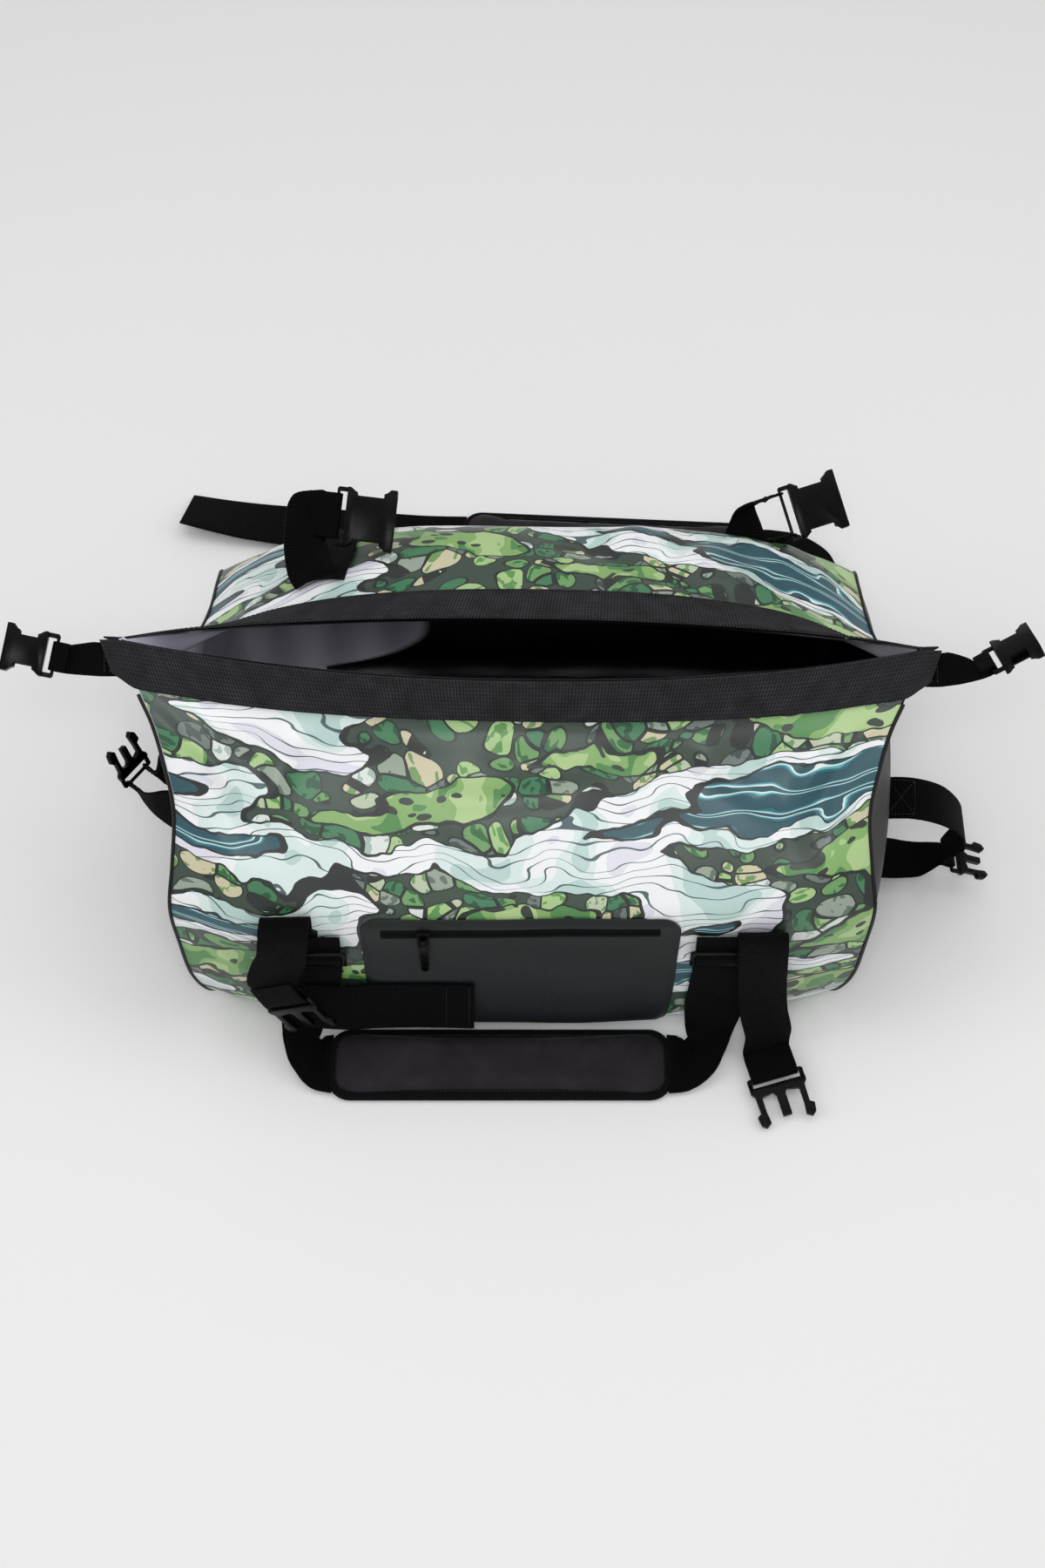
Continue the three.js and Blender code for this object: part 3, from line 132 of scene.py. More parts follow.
# %% Camera
camera_data = bpy.data.cameras.new("camera")
camera = bpy.data.objects.new("camera", camera_data)
bpy.context.scene.collection.objects.link(camera)
camera.location = (0, -0.85, 1.54624)
target = Vector((0, 0, 0.074))
camera.rotation_euler = (target - camera.location).to_track_quat("-Z", "Y").to_euler()
camera_data.sensor_fit = "VERTICAL"
camera_data.sensor_height = 36.0
focal_pixels, picture_pixels = 2356, 1800
camera_data.lens = camera_data.sensor_height * focal_pixels / picture_pixels
camera_data.clip_start = 0.05
bpy.context.scene.camera = camera
print("camera distance:", round((camera.location - target).length, 3), "m, lens",
      round(camera_data.lens, 1), "mm")

# %% Lights and floor
bpy.ops.object.select_all(action="DESELECT")
bpy.ops.mesh.primitive_plane_add(size=14, location=(0, 0, -0.0004))
floor = bpy.context.object
floor.name = "floor"
floor_finish, tree = new_material("matt white studio paper")
paper = add_node(tree, SHADER, None, {"Base Color": linear("#f3f3f3"), "Roughness": 0.95})
paper.inputs["Specular IOR Level"].default_value = 0.1
finish_material(tree, paper)
floor.data.materials.append(floor_finish)

world = bpy.data.worlds.new("studio air")
bpy.context.scene.world = world
world.use_nodes = True
world.node_tree.nodes["Background"].inputs["Color"].default_value = (1, 1, 1, 1)
world.node_tree.nodes["Background"].inputs["Strength"].default_value = 0.5
bpy.context.scene.view_settings.view_transform = "Standard"

lights = [
    # name, place, size across and along, power
    ("overhead softbox", (0.0, 0.5, 2.3), (2.2, 1.5), 11.0),
    ("left softbox", (-1.9, -0.4, 1.6), (1.0, 1.4), 8.0),
    ("right softbox", (1.9, -0.2, 1.5), (1.0, 1.4), 7.0),
    ("front fill", (0.0, -2.2, 1.2), (1.8, 0.8), 2.0),
    ("fill beside the camera", (0.0, -0.85, 1.7), (0.4, 0.4), 5.0),
]
for name, place, size, power in lights:
    light_data = bpy.data.lights.new(name, "AREA")
    light_data.shape = "RECTANGLE"
    light_data.size, light_data.size_y = size
    light_data.energy = power
    light = bpy.data.objects.new(name, light_data)
    light.location = place
    light.rotation_euler = (Vector((0, 0, 0.1)) - light.location).to_track_quat("-Z", "Y").to_euler()
    bpy.context.scene.collection.objects.link(light)
print("lights:", len(lights))

# %% [markdown]
# ## The cut of the cloth
# The body is five pieces of cloth: front, back, two ends and a base. Front and back run from the lip
# of the mouth, down the neck and the wall, to the base seam. The tables give that run at the bag's
# ends ("seam") and middle ("mid"), as shares of the bag's sizes, and the cloth is a smooth surface
# through them. It could be cut from a box and sculpted, but a lofted surface keeps the seams straight
# and gives each point its place on the flat cloth, which the printed pattern needs.

# %% Sizes and stations of the body
half_length, half_depth, wall_height = 262.0, 172.0, 165.0
mouth_height, mouth_half, mouth_tilt, back_skew = 280.0, 297.0, 7.0, 13.0
left_bulge, right_bulge, cloth = 12.0, 27.0, 1.4
band_width, rows, band_rows = 38.0, 15, 2
neck_height = mouth_height - wall_height

# wall, neck, length, reach, seam, mid wall, mid neck, mid, flat
front_stations = np.array([
    (1, 1.045, 1.0, 1.0, 0.017, 1, 1.0, 0.18, 2.2),
    (1, 0.89, 1.0, 0.62, 0.205, 1, 0.69, 0.255, 2.2),
    (1, 0.78, 1.0, 0.3, 0.33, 1, 0.58, 0.34, 2.4),
    (1, 0.62, 1.0, 0.08, 0.46, 1, 0.45, 0.48, 2.6),
    (1, 0.4, 0.99, 0, 0.6, 1, 0.27, 0.68, 3),
    (1, 0.17, 1.0, 0, 0.78, 1, 0.09, 0.87, 4),
    (0.96, 0, 1.015, 0, 0.91, 0.95, 0, 0.975, 5),
    (0.68, 0, 1.01, 0, 0.95, 0.66, 0, 1.02, 4),
    (0.36, 0, 1.0, 0, 0.965, 0.36, 0, 1.065, 3),
    (0.12, 0, 0.965, 0, 0.935, 0.11, 0, 1.085, 3),
    (0, 0, 0.92, 0, 0.85, 0, 0, 0.99, 3),
])
back_stations = np.array([
    (1, 0.955, 1.0, 1.0, 0.03, 1, 1.0, 0.13, 2.2),
    (1, 0.79, 1.0, 0.62, 0.035, 1, 0.89, 0.335, 2.4),
    (1, 0.67, 1.0, 0.3, 0.08, 1, 0.84, 0.45, 2.4),
    (1, 0.56, 0.99, 0.08, 0.23, 1, 0.78, 0.6, 2.6),
    (1, 0.42, 0.985, 0, 0.44, 1, 0.67, 0.78, 3),
    (1, 0.25, 0.985, 0, 0.68, 1, 0.48, 0.9, 4),
    (1, 0.04, 0.99, 0, 0.85, 1, 0.12, 0.985, 5),
    (0.66, 0, 1.0, 0, 0.93, 0.66, 0, 1.0, 5),
    (0.36, 0, 1.0, 0, 0.935, 0.36, 0, 1.01, 5),
    (0.12, 0, 0.965, 0, 0.89, 0.11, 0, 0.98, 5),
    (0, 0, 0.92, 0, 0.8, 0, 0, 0.88, 5),
])
sides = {"front": (front_stations, -1, 0.0), "back": (back_stations, 1, back_skew)}
# side, x, down, wide, tall, out, slant: the soft dents and swells that the solids have too
folds = [
    ("front", -0.55, 0.27, 0.3, 0.08, 0.022, 0.6),
    ("front", 0.5, 0.3, 0.34, 0.09, 0.026, -0.7),
    ("front", 0.02, 0.34, 0.3, 0.1, -0.02, 0),
    ("front", -0.82, 0.48, 0.12, 0.07, -0.03, 0.8),
    ("front", 0.84, 0.5, 0.12, 0.07, -0.028, -0.8),
    ("front", 0.3, 0.72, 0.3, 0.1, 0.014, 0),
    ("back", 0.18, 0.33, 0.14, 0.1, 0.045, -1.2),
    ("back", 0.5, 0.3, 0.13, 0.1, -0.035, -1.2),
    ("back", 0.76, 0.34, 0.1, 0.09, 0.025, -1),
    ("back", -0.45, 0.3, 0.2, 0.09, -0.025, 0.8),
    ("back", -0.1, 0.7, 0.3, 0.12, 0.014, 0),
]


# %% The cloth's run from lip to base seam
def cloth_line(side, u):
    """The points of one run of cloth, in mm, at the share u from the middle to an end."""
    stations, sign, skew = sides[side]
    wall, neck, length, reach, seam, mid_wall, mid_neck, mid, flat = stations.T
    end_x = (half_length * length) * (1 - reach) + mouth_half * reach
    swell = 1 - abs(u) ** flat
    seam_z, mid_z = wall * wall_height + neck * neck_height, mid_wall * wall_height + mid_neck * neck_height
    y = sign * half_depth * (seam * (1 - swell) + mid * swell)
    z = seam_z * (1 - swell) + mid_z * swell - mouth_tilt * u * np.maximum(neck, mid_neck)
    points = np.stack([u * end_x + skew * (1 - reach), y, z], 1)
    line, last, steps = [], len(points) - 1, 6
    for i in range(last):
        a, b, c, d = (points[min(max(i + k, 0), last)] for k in (-1, 0, 1, 2))
        for t in np.arange(steps) / steps:
            rise, fall = (c - a) / 2, (d - b) / 2
            line.append((2 * b - 2 * c + rise + fall) * t ** 3 + (3 * c - 3 * b - 2 * rise - fall) * t ** 2
                        + rise * t + b)
            line[-1][2] = max(line[-1][2], 0)
    line.append(points[last])
    line = np.array(line)
    run = np.empty_like(line)
    run[1:-1], run[0], run[-1] = line[2:] - line[:-2], line[1] - line[0], line[-1] - line[-2]
    run /= np.linalg.norm(run, axis=1, keepdims=True)
    outward = np.stack([np.zeros(len(line)), sign * run[:, 2], -sign * run[:, 1]], 1)
    down = np.linspace(0, 1, len(line))
    rise = np.zeros(len(line))
    for of_side, x, at, wide, tall, out, slant in folds:
        if of_side == side:
            aside = (u - x - slant * (down - at)) / wide
            rise += out * half_depth * np.exp(-aside ** 2 - ((down - at) / tall) ** 2)
    return line + outward * (rise * min(1, (1 - abs(u)) * 6))[:, None]


def row_distance(row, total):
    """How far down the cloth a row lies: the band's rows first, then even rows to the base seam."""
    below = (row - band_rows) / (rows - band_rows)
    return np.where(row <= band_rows, band_width * row / band_rows, band_width + (total - band_width) * below)


def side_surface(side, shares, at_rows):
    """Points of a side at shares u and fractional rows, and how far down the cloth each one lies."""
    surface, depth = np.empty((len(shares), len(at_rows), 3)), np.empty((len(shares), len(at_rows)))
    for n, u in enumerate(shares):
        line = cloth_line(side, u)
        lengths = lengths_along(line)
        depth[n] = row_distance(np.asarray(at_rows, float), lengths[-1])
        surface[n] = np.stack([np.interp(depth[n], lengths, line[:, axis]) for axis in range(3)], 1)
    return surface, depth


def end_surface(end, shares, at_rows):
    """Points of an end panel, from the front seam (0) to the back seam (1)."""
    front, _ = side_surface("front", [end], at_rows)
    back, _ = side_surface("back", [end], at_rows)
    front, back, t = front[0], back[0], np.asarray(shares)[:, None]
    far = np.linalg.norm(front - back, axis=1)
    down = np.asarray(at_rows) / rows
    bow = 1 - (2 * t - 1) ** 2
    opened = np.minimum(1, down / 0.36)
    swell = opened ** 2 * (3 - 2 * opened) * (1 - 0.3 * down) * np.minimum(1, far / (1.6 * half_depth)) ** 1.5
    dip = np.minimum(16, far * 0.3) * np.sin(np.pi * down)
    points = front[None] * (1 - t[..., None]) + back[None] * t[..., None]
    points[..., 0] += end * (right_bulge if end > 0 else left_bulge) * swell * bow
    points[..., 2] -= dip * bow
    return points


middle_line = cloth_line("front", 0.0)
run_length = np.linalg.norm(np.diff(middle_line, axis=0), axis=1).sum()
print("front cloth from lip to base seam:", round(run_length, 1), "mm")


# %% [markdown]
# ## From flat cloth to a panel
# A flat grid is the cut cloth. Each of its points moves to its place on the bag, and its UV keeps the
# flat place in metres, so that print and weave follow the cloth. Solidify then gives the cloth its
# thickness, inwards from the outer face, with the coating's own material on the inner side.

# %% Panel maker
def normals_of(points):
    across, along = np.gradient(points, axis=0), np.gradient(points, axis=1)
    normal = np.cross(across, along)
    return normal / np.maximum(np.linalg.norm(normal, axis=2, keepdims=True), 1e-9)


def cloth_grid(name, points, flat, outward):
    """A grid of cloth from an array of points in mm and an array of its flat places in mm."""
    columns, down = points.shape[0] - 1, points.shape[1] - 1
    bpy.ops.object.select_all(action="DESELECT")
    bpy.ops.mesh.primitive_grid_add(x_subdivisions=columns, y_subdivisions=down, size=2)
    piece = bpy.context.object
    piece.name = name
    mesh = piece.data
    place = coordinates(mesh)
    i = np.rint((place[:, 0] + 1) / 2 * columns).astype(int)
    j = np.rint((place[:, 1] + 1) / 2 * down).astype(int)
    mesh.vertices.foreach_set("co", (points[i, j] * MM).ravel())
    corners = np.empty(len(mesh.loops), int)
    mesh.loops.foreach_get("vertex_index", corners)
    mesh.uv_layers[0].name = "flat cloth"
    mesh.uv_layers[0].data.foreach_set("uv", (flat[i, j] * MM)[corners].ravel())
    mesh.update()
    normal = np.array(mesh.polygons[len(mesh.polygons) // 2].normal)
    if outward is not None and np.dot(normal, outward) < 0:
        edit_all(piece)
        bpy.ops.mesh.flip_normals()
        bpy.ops.object.mode_set(mode="OBJECT")
    return piece


def flat_places(shares, depth, length):
    """Flat place of each point: along the bag from its middle, and down from the lip."""
    along = np.repeat(np.asarray(shares)[:, None] * length, depth.shape[1], axis=1)
    return np.stack([along, depth], 2)


def thicken(piece, thickness, offset=-1.0, inner_slot=0):
    apply_modifier(piece, "thickness", "SOLIDIFY", thickness=thickness * MM, offset=offset,
                   material_offset=inner_slot, material_offset_rim=inner_slot,
                   use_even_offset=True, use_rim=True)


def smooth(piece, angle):
    only(piece)
    bpy.ops.object.shade_smooth_by_angle(angle=math.radians(angle))


outward_of = {"front": (0, -1, 0.3), "back": (0, 1, 0.3)}


# %% [markdown]
# ## Finer creases
# Coated cloth is stiff: it doesn't drape, it buckles into long shallow creases that run from where it
# is pulled. Each crease here is one row: where it starts and ends on the flat cloth in mm, how wide it
# is and how far it stands out. Two slow ripples, about one millimetre high together, break up flat parts.

# %% Creases of the front and back cloth
# side, x from, down from, x to, down to, half width, height
creases = [
    ("front", -285, 42, -190, 120, 9, 4.4),
    ("front", -262, 40, -215, 160, 8, -3.8),
    ("front", -150, 40, -205, 125, 9, 3.0),
    ("front", 285, 44, 205, 115, 9, 4.6),
    ("front", 262, 40, 228, 165, 8, -3.8),
    ("front", 120, 46, 215, 118, 10, 3.0),
    ("front", -40, 58, 70, 76, 10, 2.6),
    ("front", -90, 95, 60, 84, 11, -2.4),
    ("front", -225, 175, -160, 205, 10, -1.6),
    ("front", 225, 178, 150, 206, 10, -1.6),
    ("front", -250, 245, -205, 300, 9, 1.8),
    ("front", 250, 245, 205, 300, 9, 1.8),
    ("front", 130, 215, 175, 330, 8, 1.5),
    ("front", -128, 215, -150, 330, 8, 1.2),
    ("back", 40, 44, 100, 150, 12, 3.0),
    ("back", 80, 44, 160, 140, 9, -2.6),
    ("back", 150, 50, 230, 130, 10, 2.4),
    ("back", -250, 44, -160, 120, 10, 2.0),
    ("back", -120, 60, -200, 150, 10, -1.6),
    ("back", 235, 150, 180, 205, 10, 2.2),
    ("back", -235, 150, -190, 200, 10, 1.6),
]


def crease_height(side, flat):
    x, d = flat[..., 0], flat[..., 1]
    height = 0.7 * np.sin(x / 47.0 + d / 31.0) * np.sin(d / 53.0 - x / 83.0)
    height += 0.35 * np.sin(x / 19.0 - d / 23.0 + 1.3) * np.sin(d / 17.0 + x / 71.0)
    for of_side, x0, d0, x1, d1, wide, tall in creases:
        if of_side != side:
            continue
        run = np.array((x1 - x0, d1 - d0), float)
        long = np.hypot(*run)
        run /= long
        along = ((x - x0) * run[0] + (d - d0) * run[1]) / long
        off = (x - x0) * -run[1] + (d - d0) * run[0] - 0.06 * long * np.sin(np.pi * np.clip(along, 0, 1))
        fade = np.clip(1 - np.maximum(0, np.abs(2 * along - 1) - 0.35) / 0.65, 0, 1)
        height += tall * fade ** 2 * (3 - 2 * fade) * np.exp(-(off / wide) ** 2)
    return height


def creased(side, points, flat, hold):
    """Moves the cloth along its normals by its creases, held still where hold is nought."""
    normal = normals_of(points)
    normal *= np.sign(np.sum(normal[points.shape[0] // 2, -30] * outward_of[side]))
    return points + normal * (crease_height(side, flat) * hold)[..., None]


# %% Front and back panels
column_shares = np.linspace(-1, 1, 121)
panel_rows = np.concatenate([np.linspace(0, band_rows, 7), np.linspace(band_rows, rows, 92)[1:]])
panels, surfaces = {}, {}
for side in ("front", "back"):
    points, depth = side_surface(side, column_shares, panel_rows)
    flat = flat_places(column_shares, depth, half_length * 1.05)
    ends = np.clip((1 - np.abs(column_shares)) * 14, 0, 1)[:, None]
    lengths = np.clip((depth - band_width) / 25, 0, 1) * np.clip((depth[:, -1:] - depth) / 18, 0, 1)
    shaped = creased(side, points, flat, ends * lengths)
    surfaces[side] = shaped
    panels[side] = cloth_grid(f"{side}_cloth", shaped, flat, outward_of[side])
    print(side, "cloth:", len(panels[side].data.polygons), "faces, creases up to",
          round(float(np.abs(shaped - points).max()), 1), "mm")

# %% [markdown]
# ## Ends and base
# The ends and the base are plain black coated cloth. The right end swells outwards over its handle.
# Their edges meet the printed cloth at welded seams, which show as one narrow dark line.

# %% End panels and base
for name, end in (("left", -1), ("right", 1)):
    shares = np.linspace(0, 1, 31)
    points = end_surface(end, shares, panel_rows)
    far = np.cumsum(np.linalg.norm(np.diff(points, axis=0), axis=2), axis=0)
    across = np.concatenate([np.zeros((1, far.shape[1])), far])
    depth = np.cumsum(np.linalg.norm(np.diff(points, axis=1), axis=2), axis=1)
    depth = np.concatenate([np.zeros((len(shares), 1)), depth], 1)
    flat = np.stack([across, depth], 2)
    bow = (1 - (2 * shares - 1) ** 2)[:, None]
    points[..., 0] += end * 1.1 * bow * np.sin(depth / 21.0 + across / 37.0) * np.sin(across / 29.0)
    panels[name] = cloth_grid(f"end_cloth_{name}", points, flat, (end, 0, 0))

front_foot, _ = side_surface("front", column_shares, [rows])
back_foot, _ = side_surface("back", column_shares, [rows])
shares = np.linspace(0, 1, 21)
points = front_foot * (1 - shares[None, :, None]) + back_foot * shares[None, :, None]
points[..., 2] = 0.0
panels["base"] = cloth_grid("base_cloth", points, points[..., :2].copy(), (0, 0, -1))
print("panels:", ", ".join(piece.name for piece in panels.values()))

# %% [markdown]
# ## Webbing from its place in the CAD model
# A strap in the CAD model is a thin closed strip with three points across and a row every few
# centimetres. Its rows are read back: the 1.6 mm edges round its rim pair the two faces, and the loop
# that they form is turned until its two long sides keep the strap's width. A smooth curve through the
# rows then gives a strap with its own UV along it, which the ribs of the weave follow round each turn.

# %% Rows of a strip
def walk_rim(keys, across, first, thickness):
    """The edges through the thickness, in order round the rim, from a first one."""
    found = [first]
    a, b = first
    third = across[frozenset(first)][0]
    while len(found) < len(keys):
        ways = []
        for held, other in ((b, a), (a, b)):
            beyond = [v for v in across[frozenset((third, held))] if v != other]
            if beyond:
                new = (third, beyond[0]) if held == b else (beyond[0], third)
                step = keys[new[0]] - keys[new[1]]
                cost = 5 * abs(np.linalg.norm(step) - thickness) + np.linalg.norm(step - keys[a] + keys[b])
                ways.append((cost, new, {third, other, held}))
        cost, new, passed = min(ways, key=lambda way: way[0])
        if cost > 3 or set(new) == set(first):
            break
        found.append(new)
        ahead = [v for v in across[frozenset(new)] if v not in passed]
        if not ahead:
            break
        (a, b), third = new, ahead[0]
    return found


def strip_rows(node, thickness=1.6):
    """Rows of three points (edge, middle, edge) of a CAD strip, in mm, from one end to the other."""
    mesh = nodes[node].data
    tri = np.empty(len(mesh.polygons) * 3, int)
    mesh.polygons.foreach_get("vertices", tri)
    keys, which = np.unique(np.round(coordinates(mesh) * 1000, 2), axis=0, return_inverse=True)
    tri = which.reshape(-1)[tri].reshape(-1, 3)
    across = {}
    for face in tri:
        for n in range(3):
            across.setdefault(frozenset((face[n], face[n - 1])), []).append(face[n - 2])
    count = len(keys) // 6
    edges = sorted(across, key=lambda edge: abs(np.linalg.norm(np.subtract(*keys[list(edge)])) - thickness))
    for edge in edges[:40]:
        rim = walk_rim(keys, across, tuple(edge), thickness)
        if len(rim) == 2 * count + 2:
            break
    middles = (keys[[a for a, b in rim]] + keys[[b for a, b in rim]]) / 2
    turns = []
    for turn in range(len(rim)):
        turned = np.roll(middles, -turn, axis=0)
        sides_apart = np.linalg.norm(turned[:count] - turned[count + 1:-1][::-1], axis=1).mean()
        start_off = np.linalg.norm(turned[-1] - (turned[0] + turned[-2]) / 2)
        end_off = np.linalg.norm(turned[count] - (turned[count - 1] + turned[count + 1]) / 2)
        turns.append((sides_apart + 4 * (start_off + end_off), turn))
    turned = np.roll(middles, -min(turns)[1], axis=0)
    left, right = turned[:count], turned[count + 1:-1][::-1]
    centre = (left + right) / 2
    centre[-1], centre[0] = turned[count], turned[-1]
    inner = np.array(sorted(set(range(len(keys))) - {v for pair in rim for v in pair}))
    for n in range(1, count - 1):
        near = inner[np.argsort(np.linalg.norm(keys[inner] - centre[n], axis=1))[:2]]
        if np.linalg.norm(keys[near].mean(0) - centre[n]) < 4:
            centre[n] = keys[near].mean(0)
    return np.stack([left, centre, right], 1)


# %% Straps, handles, tabs and rim bands
def smooth_rows(found, step, columns):
    """A smooth strip through rows of three points, with rows every step mm and columns across."""
    gaps = np.linalg.norm(np.diff(found, axis=0), axis=2).mean(1)
    at = np.concatenate([[0], np.cumsum(np.maximum(gaps, 0.8))])
    slope = np.empty_like(found)
    slope[1:-1] = (found[2:] - found[:-2]) / (at[2:] - at[:-2])[:, None, None]
    slope[0] = (found[1] - found[0]) / (at[1] - at[0])
    slope[-1] = (found[-1] - found[-2]) / (at[-1] - at[-2])
    wanted = np.linspace(0, at[-1], int(np.ceil(at[-1] / step)) + 1)
    row = np.clip(np.searchsorted(at, wanted, side="right") - 1, 0, len(at) - 2)
    gap = (at[row + 1] - at[row])[:, None, None]
    t = ((wanted - at[row])[:, None, None]) / gap
    line = (found[row] * (2 * t ** 3 - 3 * t ** 2 + 1) + found[row + 1] * (3 * t ** 2 - 2 * t ** 3)
            + slope[row] * gap * (t ** 3 - 2 * t ** 2 + t) + slope[row + 1] * gap * (t ** 3 - t ** 2))
    share = np.linspace(-1, 1, columns)[None, :, None]
    points = (line[:, :1] * (share ** 2 - share) / 2 + line[:, 1:2] * (1 - share ** 2)
              + line[:, 2:] * (share ** 2 + share) / 2)
    width = np.linalg.norm(line[:, 0] - line[:, 2], axis=1).mean()
    flat = np.stack([np.broadcast_to(share[..., 0] * width / 2, points.shape[:2]),
                     np.repeat(wanted[:, None], columns, axis=1)], 2)
    return points, flat


def corners_of(node):
    """The places of a CAD piece's corners, in mm."""
    return coordinates(nodes[node].data) / MM


tucked_under = {"front_strap_left": "front_pad", "front_strap_right": "front_pad",
                "back_strap_left": "back_pad", "back_strap_right": "back_pad"}
tuck = 3.0


def strap(node, thickness=1.6, step=2.5, columns=9):
    points, flat = smooth_rows(strip_rows(node), step, columns)
    if node in tucked_under:
        pad = corners_of(tucked_under[node]).mean(axis=0)
        first_away, last_away = (np.linalg.norm(points[end].mean(axis=0) - pad) for end in (0, -1))
        end = 0 if first_away < last_away else -1
        inner = 1 if end == 0 else -2
        run = (points[end] - points[inner]).mean(axis=0)
        points[end] += run / np.linalg.norm(run) * tuck
    piece = cloth_grid(f"{node}_webbing", points, flat, None)
    thicken(piece, thickness, offset=0.0)
    apply_modifier(piece, "woven_edge", "BEVEL", width=0.0005, segments=2, limit_method="ANGLE",
                   angle_limit=math.radians(50))
    smooth(piece, 50)
    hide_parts(node)
    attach(piece, "bag")
    print(node, "length", round(float(flat[-1, 0, 1]), 1), "mm,", len(piece.data.polygons), "faces")
    return piece, points


strap_nodes = ["strap_front_left", "strap_front_right", "strap_back_left", "strap_back_right",
               "end_handle_left", "end_handle_right", "rim_tab_left", "rim_tab_right",
               "front_strap_left", "front_strap_right", "front_strap_tail",
               "back_strap_left", "back_strap_right"]
straps, strap_points = {}, {}
for node in strap_nodes:
    straps[node], strap_points[node] = strap(node)
for node in ("rim_band_front", "rim_band_back"):
    straps[node], strap_points[node] = strap(node, step=4, columns=13)

# %% [markdown]
# ## Pocket and zip
# The pocket is a black patch welded to the front, with a water-shedding zip across its top. It follows
# the wall, so its grid is laid on the same smooth surface and lifted off it by its own thickness. The
# zip's coil is modelled as a ridge with one small hump for each pair of teeth.

# %% Points on the front wall
def on_front(x, z, lift):
    """A point of the front cloth at x along the bag and z up, moved out by a lift, all in mm."""
    grid, normal = surfaces["front"], front_normals
    u = (x / (half_length * 1.005) + 1) / 2 * (grid.shape[0] - 1)
    i = int(np.clip(np.floor(u), 0, grid.shape[0] - 2))
    columns = grid[i] * (1 - u + i) + grid[i + 1] * (u - i)
    out = normal[i] * (1 - u + i) + normal[i + 1] * (u - i)
    low = slice(26, None)
    heights = columns[low, 2][::-1]
    point = np.array([np.interp(z, heights, columns[low, axis][::-1]) for axis in range(3)])
    facing = np.array([np.interp(z, heights, out[low, axis][::-1]) for axis in range(3)])
    return point + facing / np.linalg.norm(facing) * lift


front_normals = normals_of(surfaces["front"])
front_normals *= np.sign(np.sum(front_normals[60, -30] * outward_of["front"]))

# %% Pocket patch
pocket_left, pocket_right, pocket_top, pocket_foot, corner = -122.0, 119.0, 160.0, 14.0, 14.0
edge_steps = np.array([0, 0.4, 1.2, 2.6, 4.5, 7, 10, 14])
middle_x, half_x = (pocket_left + pocket_right) / 2, (pocket_right - pocket_left) / 2
tall = pocket_top - pocket_foot
weld_width, weld_lift, patch_lift = 3.4, 1.9, 3.0
downs = np.concatenate([edge_steps, np.linspace(14, tall - 14, 30)[1:-1], tall - edge_steps[::-1]])
insets = np.concatenate([edge_steps, np.linspace(14, 2 * half_x - 14, 52)[1:-1],
                         2 * half_x - edge_steps[::-1]])
points = np.empty((len(insets), len(downs), 3))
flat = np.empty((len(insets), len(downs), 2))
for j, down in enumerate(downs):
    near = min(down, tall - down, corner)
    width = half_x - corner + math.sqrt(corner ** 2 - (corner - near) ** 2)
    for i, inset in enumerate(insets):
        x = middle_x + (inset / half_x - 1) * width
        rim = min(down, tall - down, width - abs(x - middle_x))
        weld = weld_lift if rim < weld_width else patch_lift + 0.35 * min(1, (rim - weld_width) / 10)
        points[i, j] = on_front(x, pocket_top - down, weld if rim > 0.2 else 1.2)
        flat[i, j] = (x, down)
pocket = cloth_grid("front_pocket_patch", points, flat, outward_of["front"])
thicken(pocket, 1.0)
smooth(pocket, 60)
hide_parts("front_pocket")
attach(pocket, "bag")

# %% Zip tape and coil
zip_middle, zip_half, tooth = pocket_top - 13.0, 4.5, 1.3
start, stop = pocket_left + 16.0, pocket_right - 16.0
xs = np.arange(start, stop, tooth / 4)
profile = [(-4.5, 3.4), (-3.2, 3.9), (-1.6, 3.95), (-1.1, 4.6), (0.0, 4.9), (1.1, 4.6), (1.6, 3.95),
           (3.2, 3.9), (4.5, 3.4)]
points = np.empty((len(xs), len(profile), 3))
flat = np.empty((len(xs), len(profile), 2))
for i, x in enumerate(xs):
    hump = 0.25 * math.sin(2 * math.pi * x / tooth)
    for j, (off, lift) in enumerate(profile):
        points[i, j] = on_front(x, zip_middle - off, lift + (hump if abs(off) < 1.3 else 0))
        flat[i, j] = (off, x)
zip_piece = cloth_grid("pocket_zip_coil", points, flat, outward_of["front"])
thicken(zip_piece, 0.5)
smooth(zip_piece, 60)
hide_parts("pocket_zip")
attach(zip_piece, "bag")
print("pocket", len(pocket.data.polygons), "faces, zip", len(zip_piece.data.polygons), "faces")

# %% [markdown]
# ## Welded seams
# The cloth pieces are welded edge to edge, and a rounded bead of coating runs along each seam. A bead
# is a thin tube that follows the seam: a grid bent into a tube along it and merged at its edge.

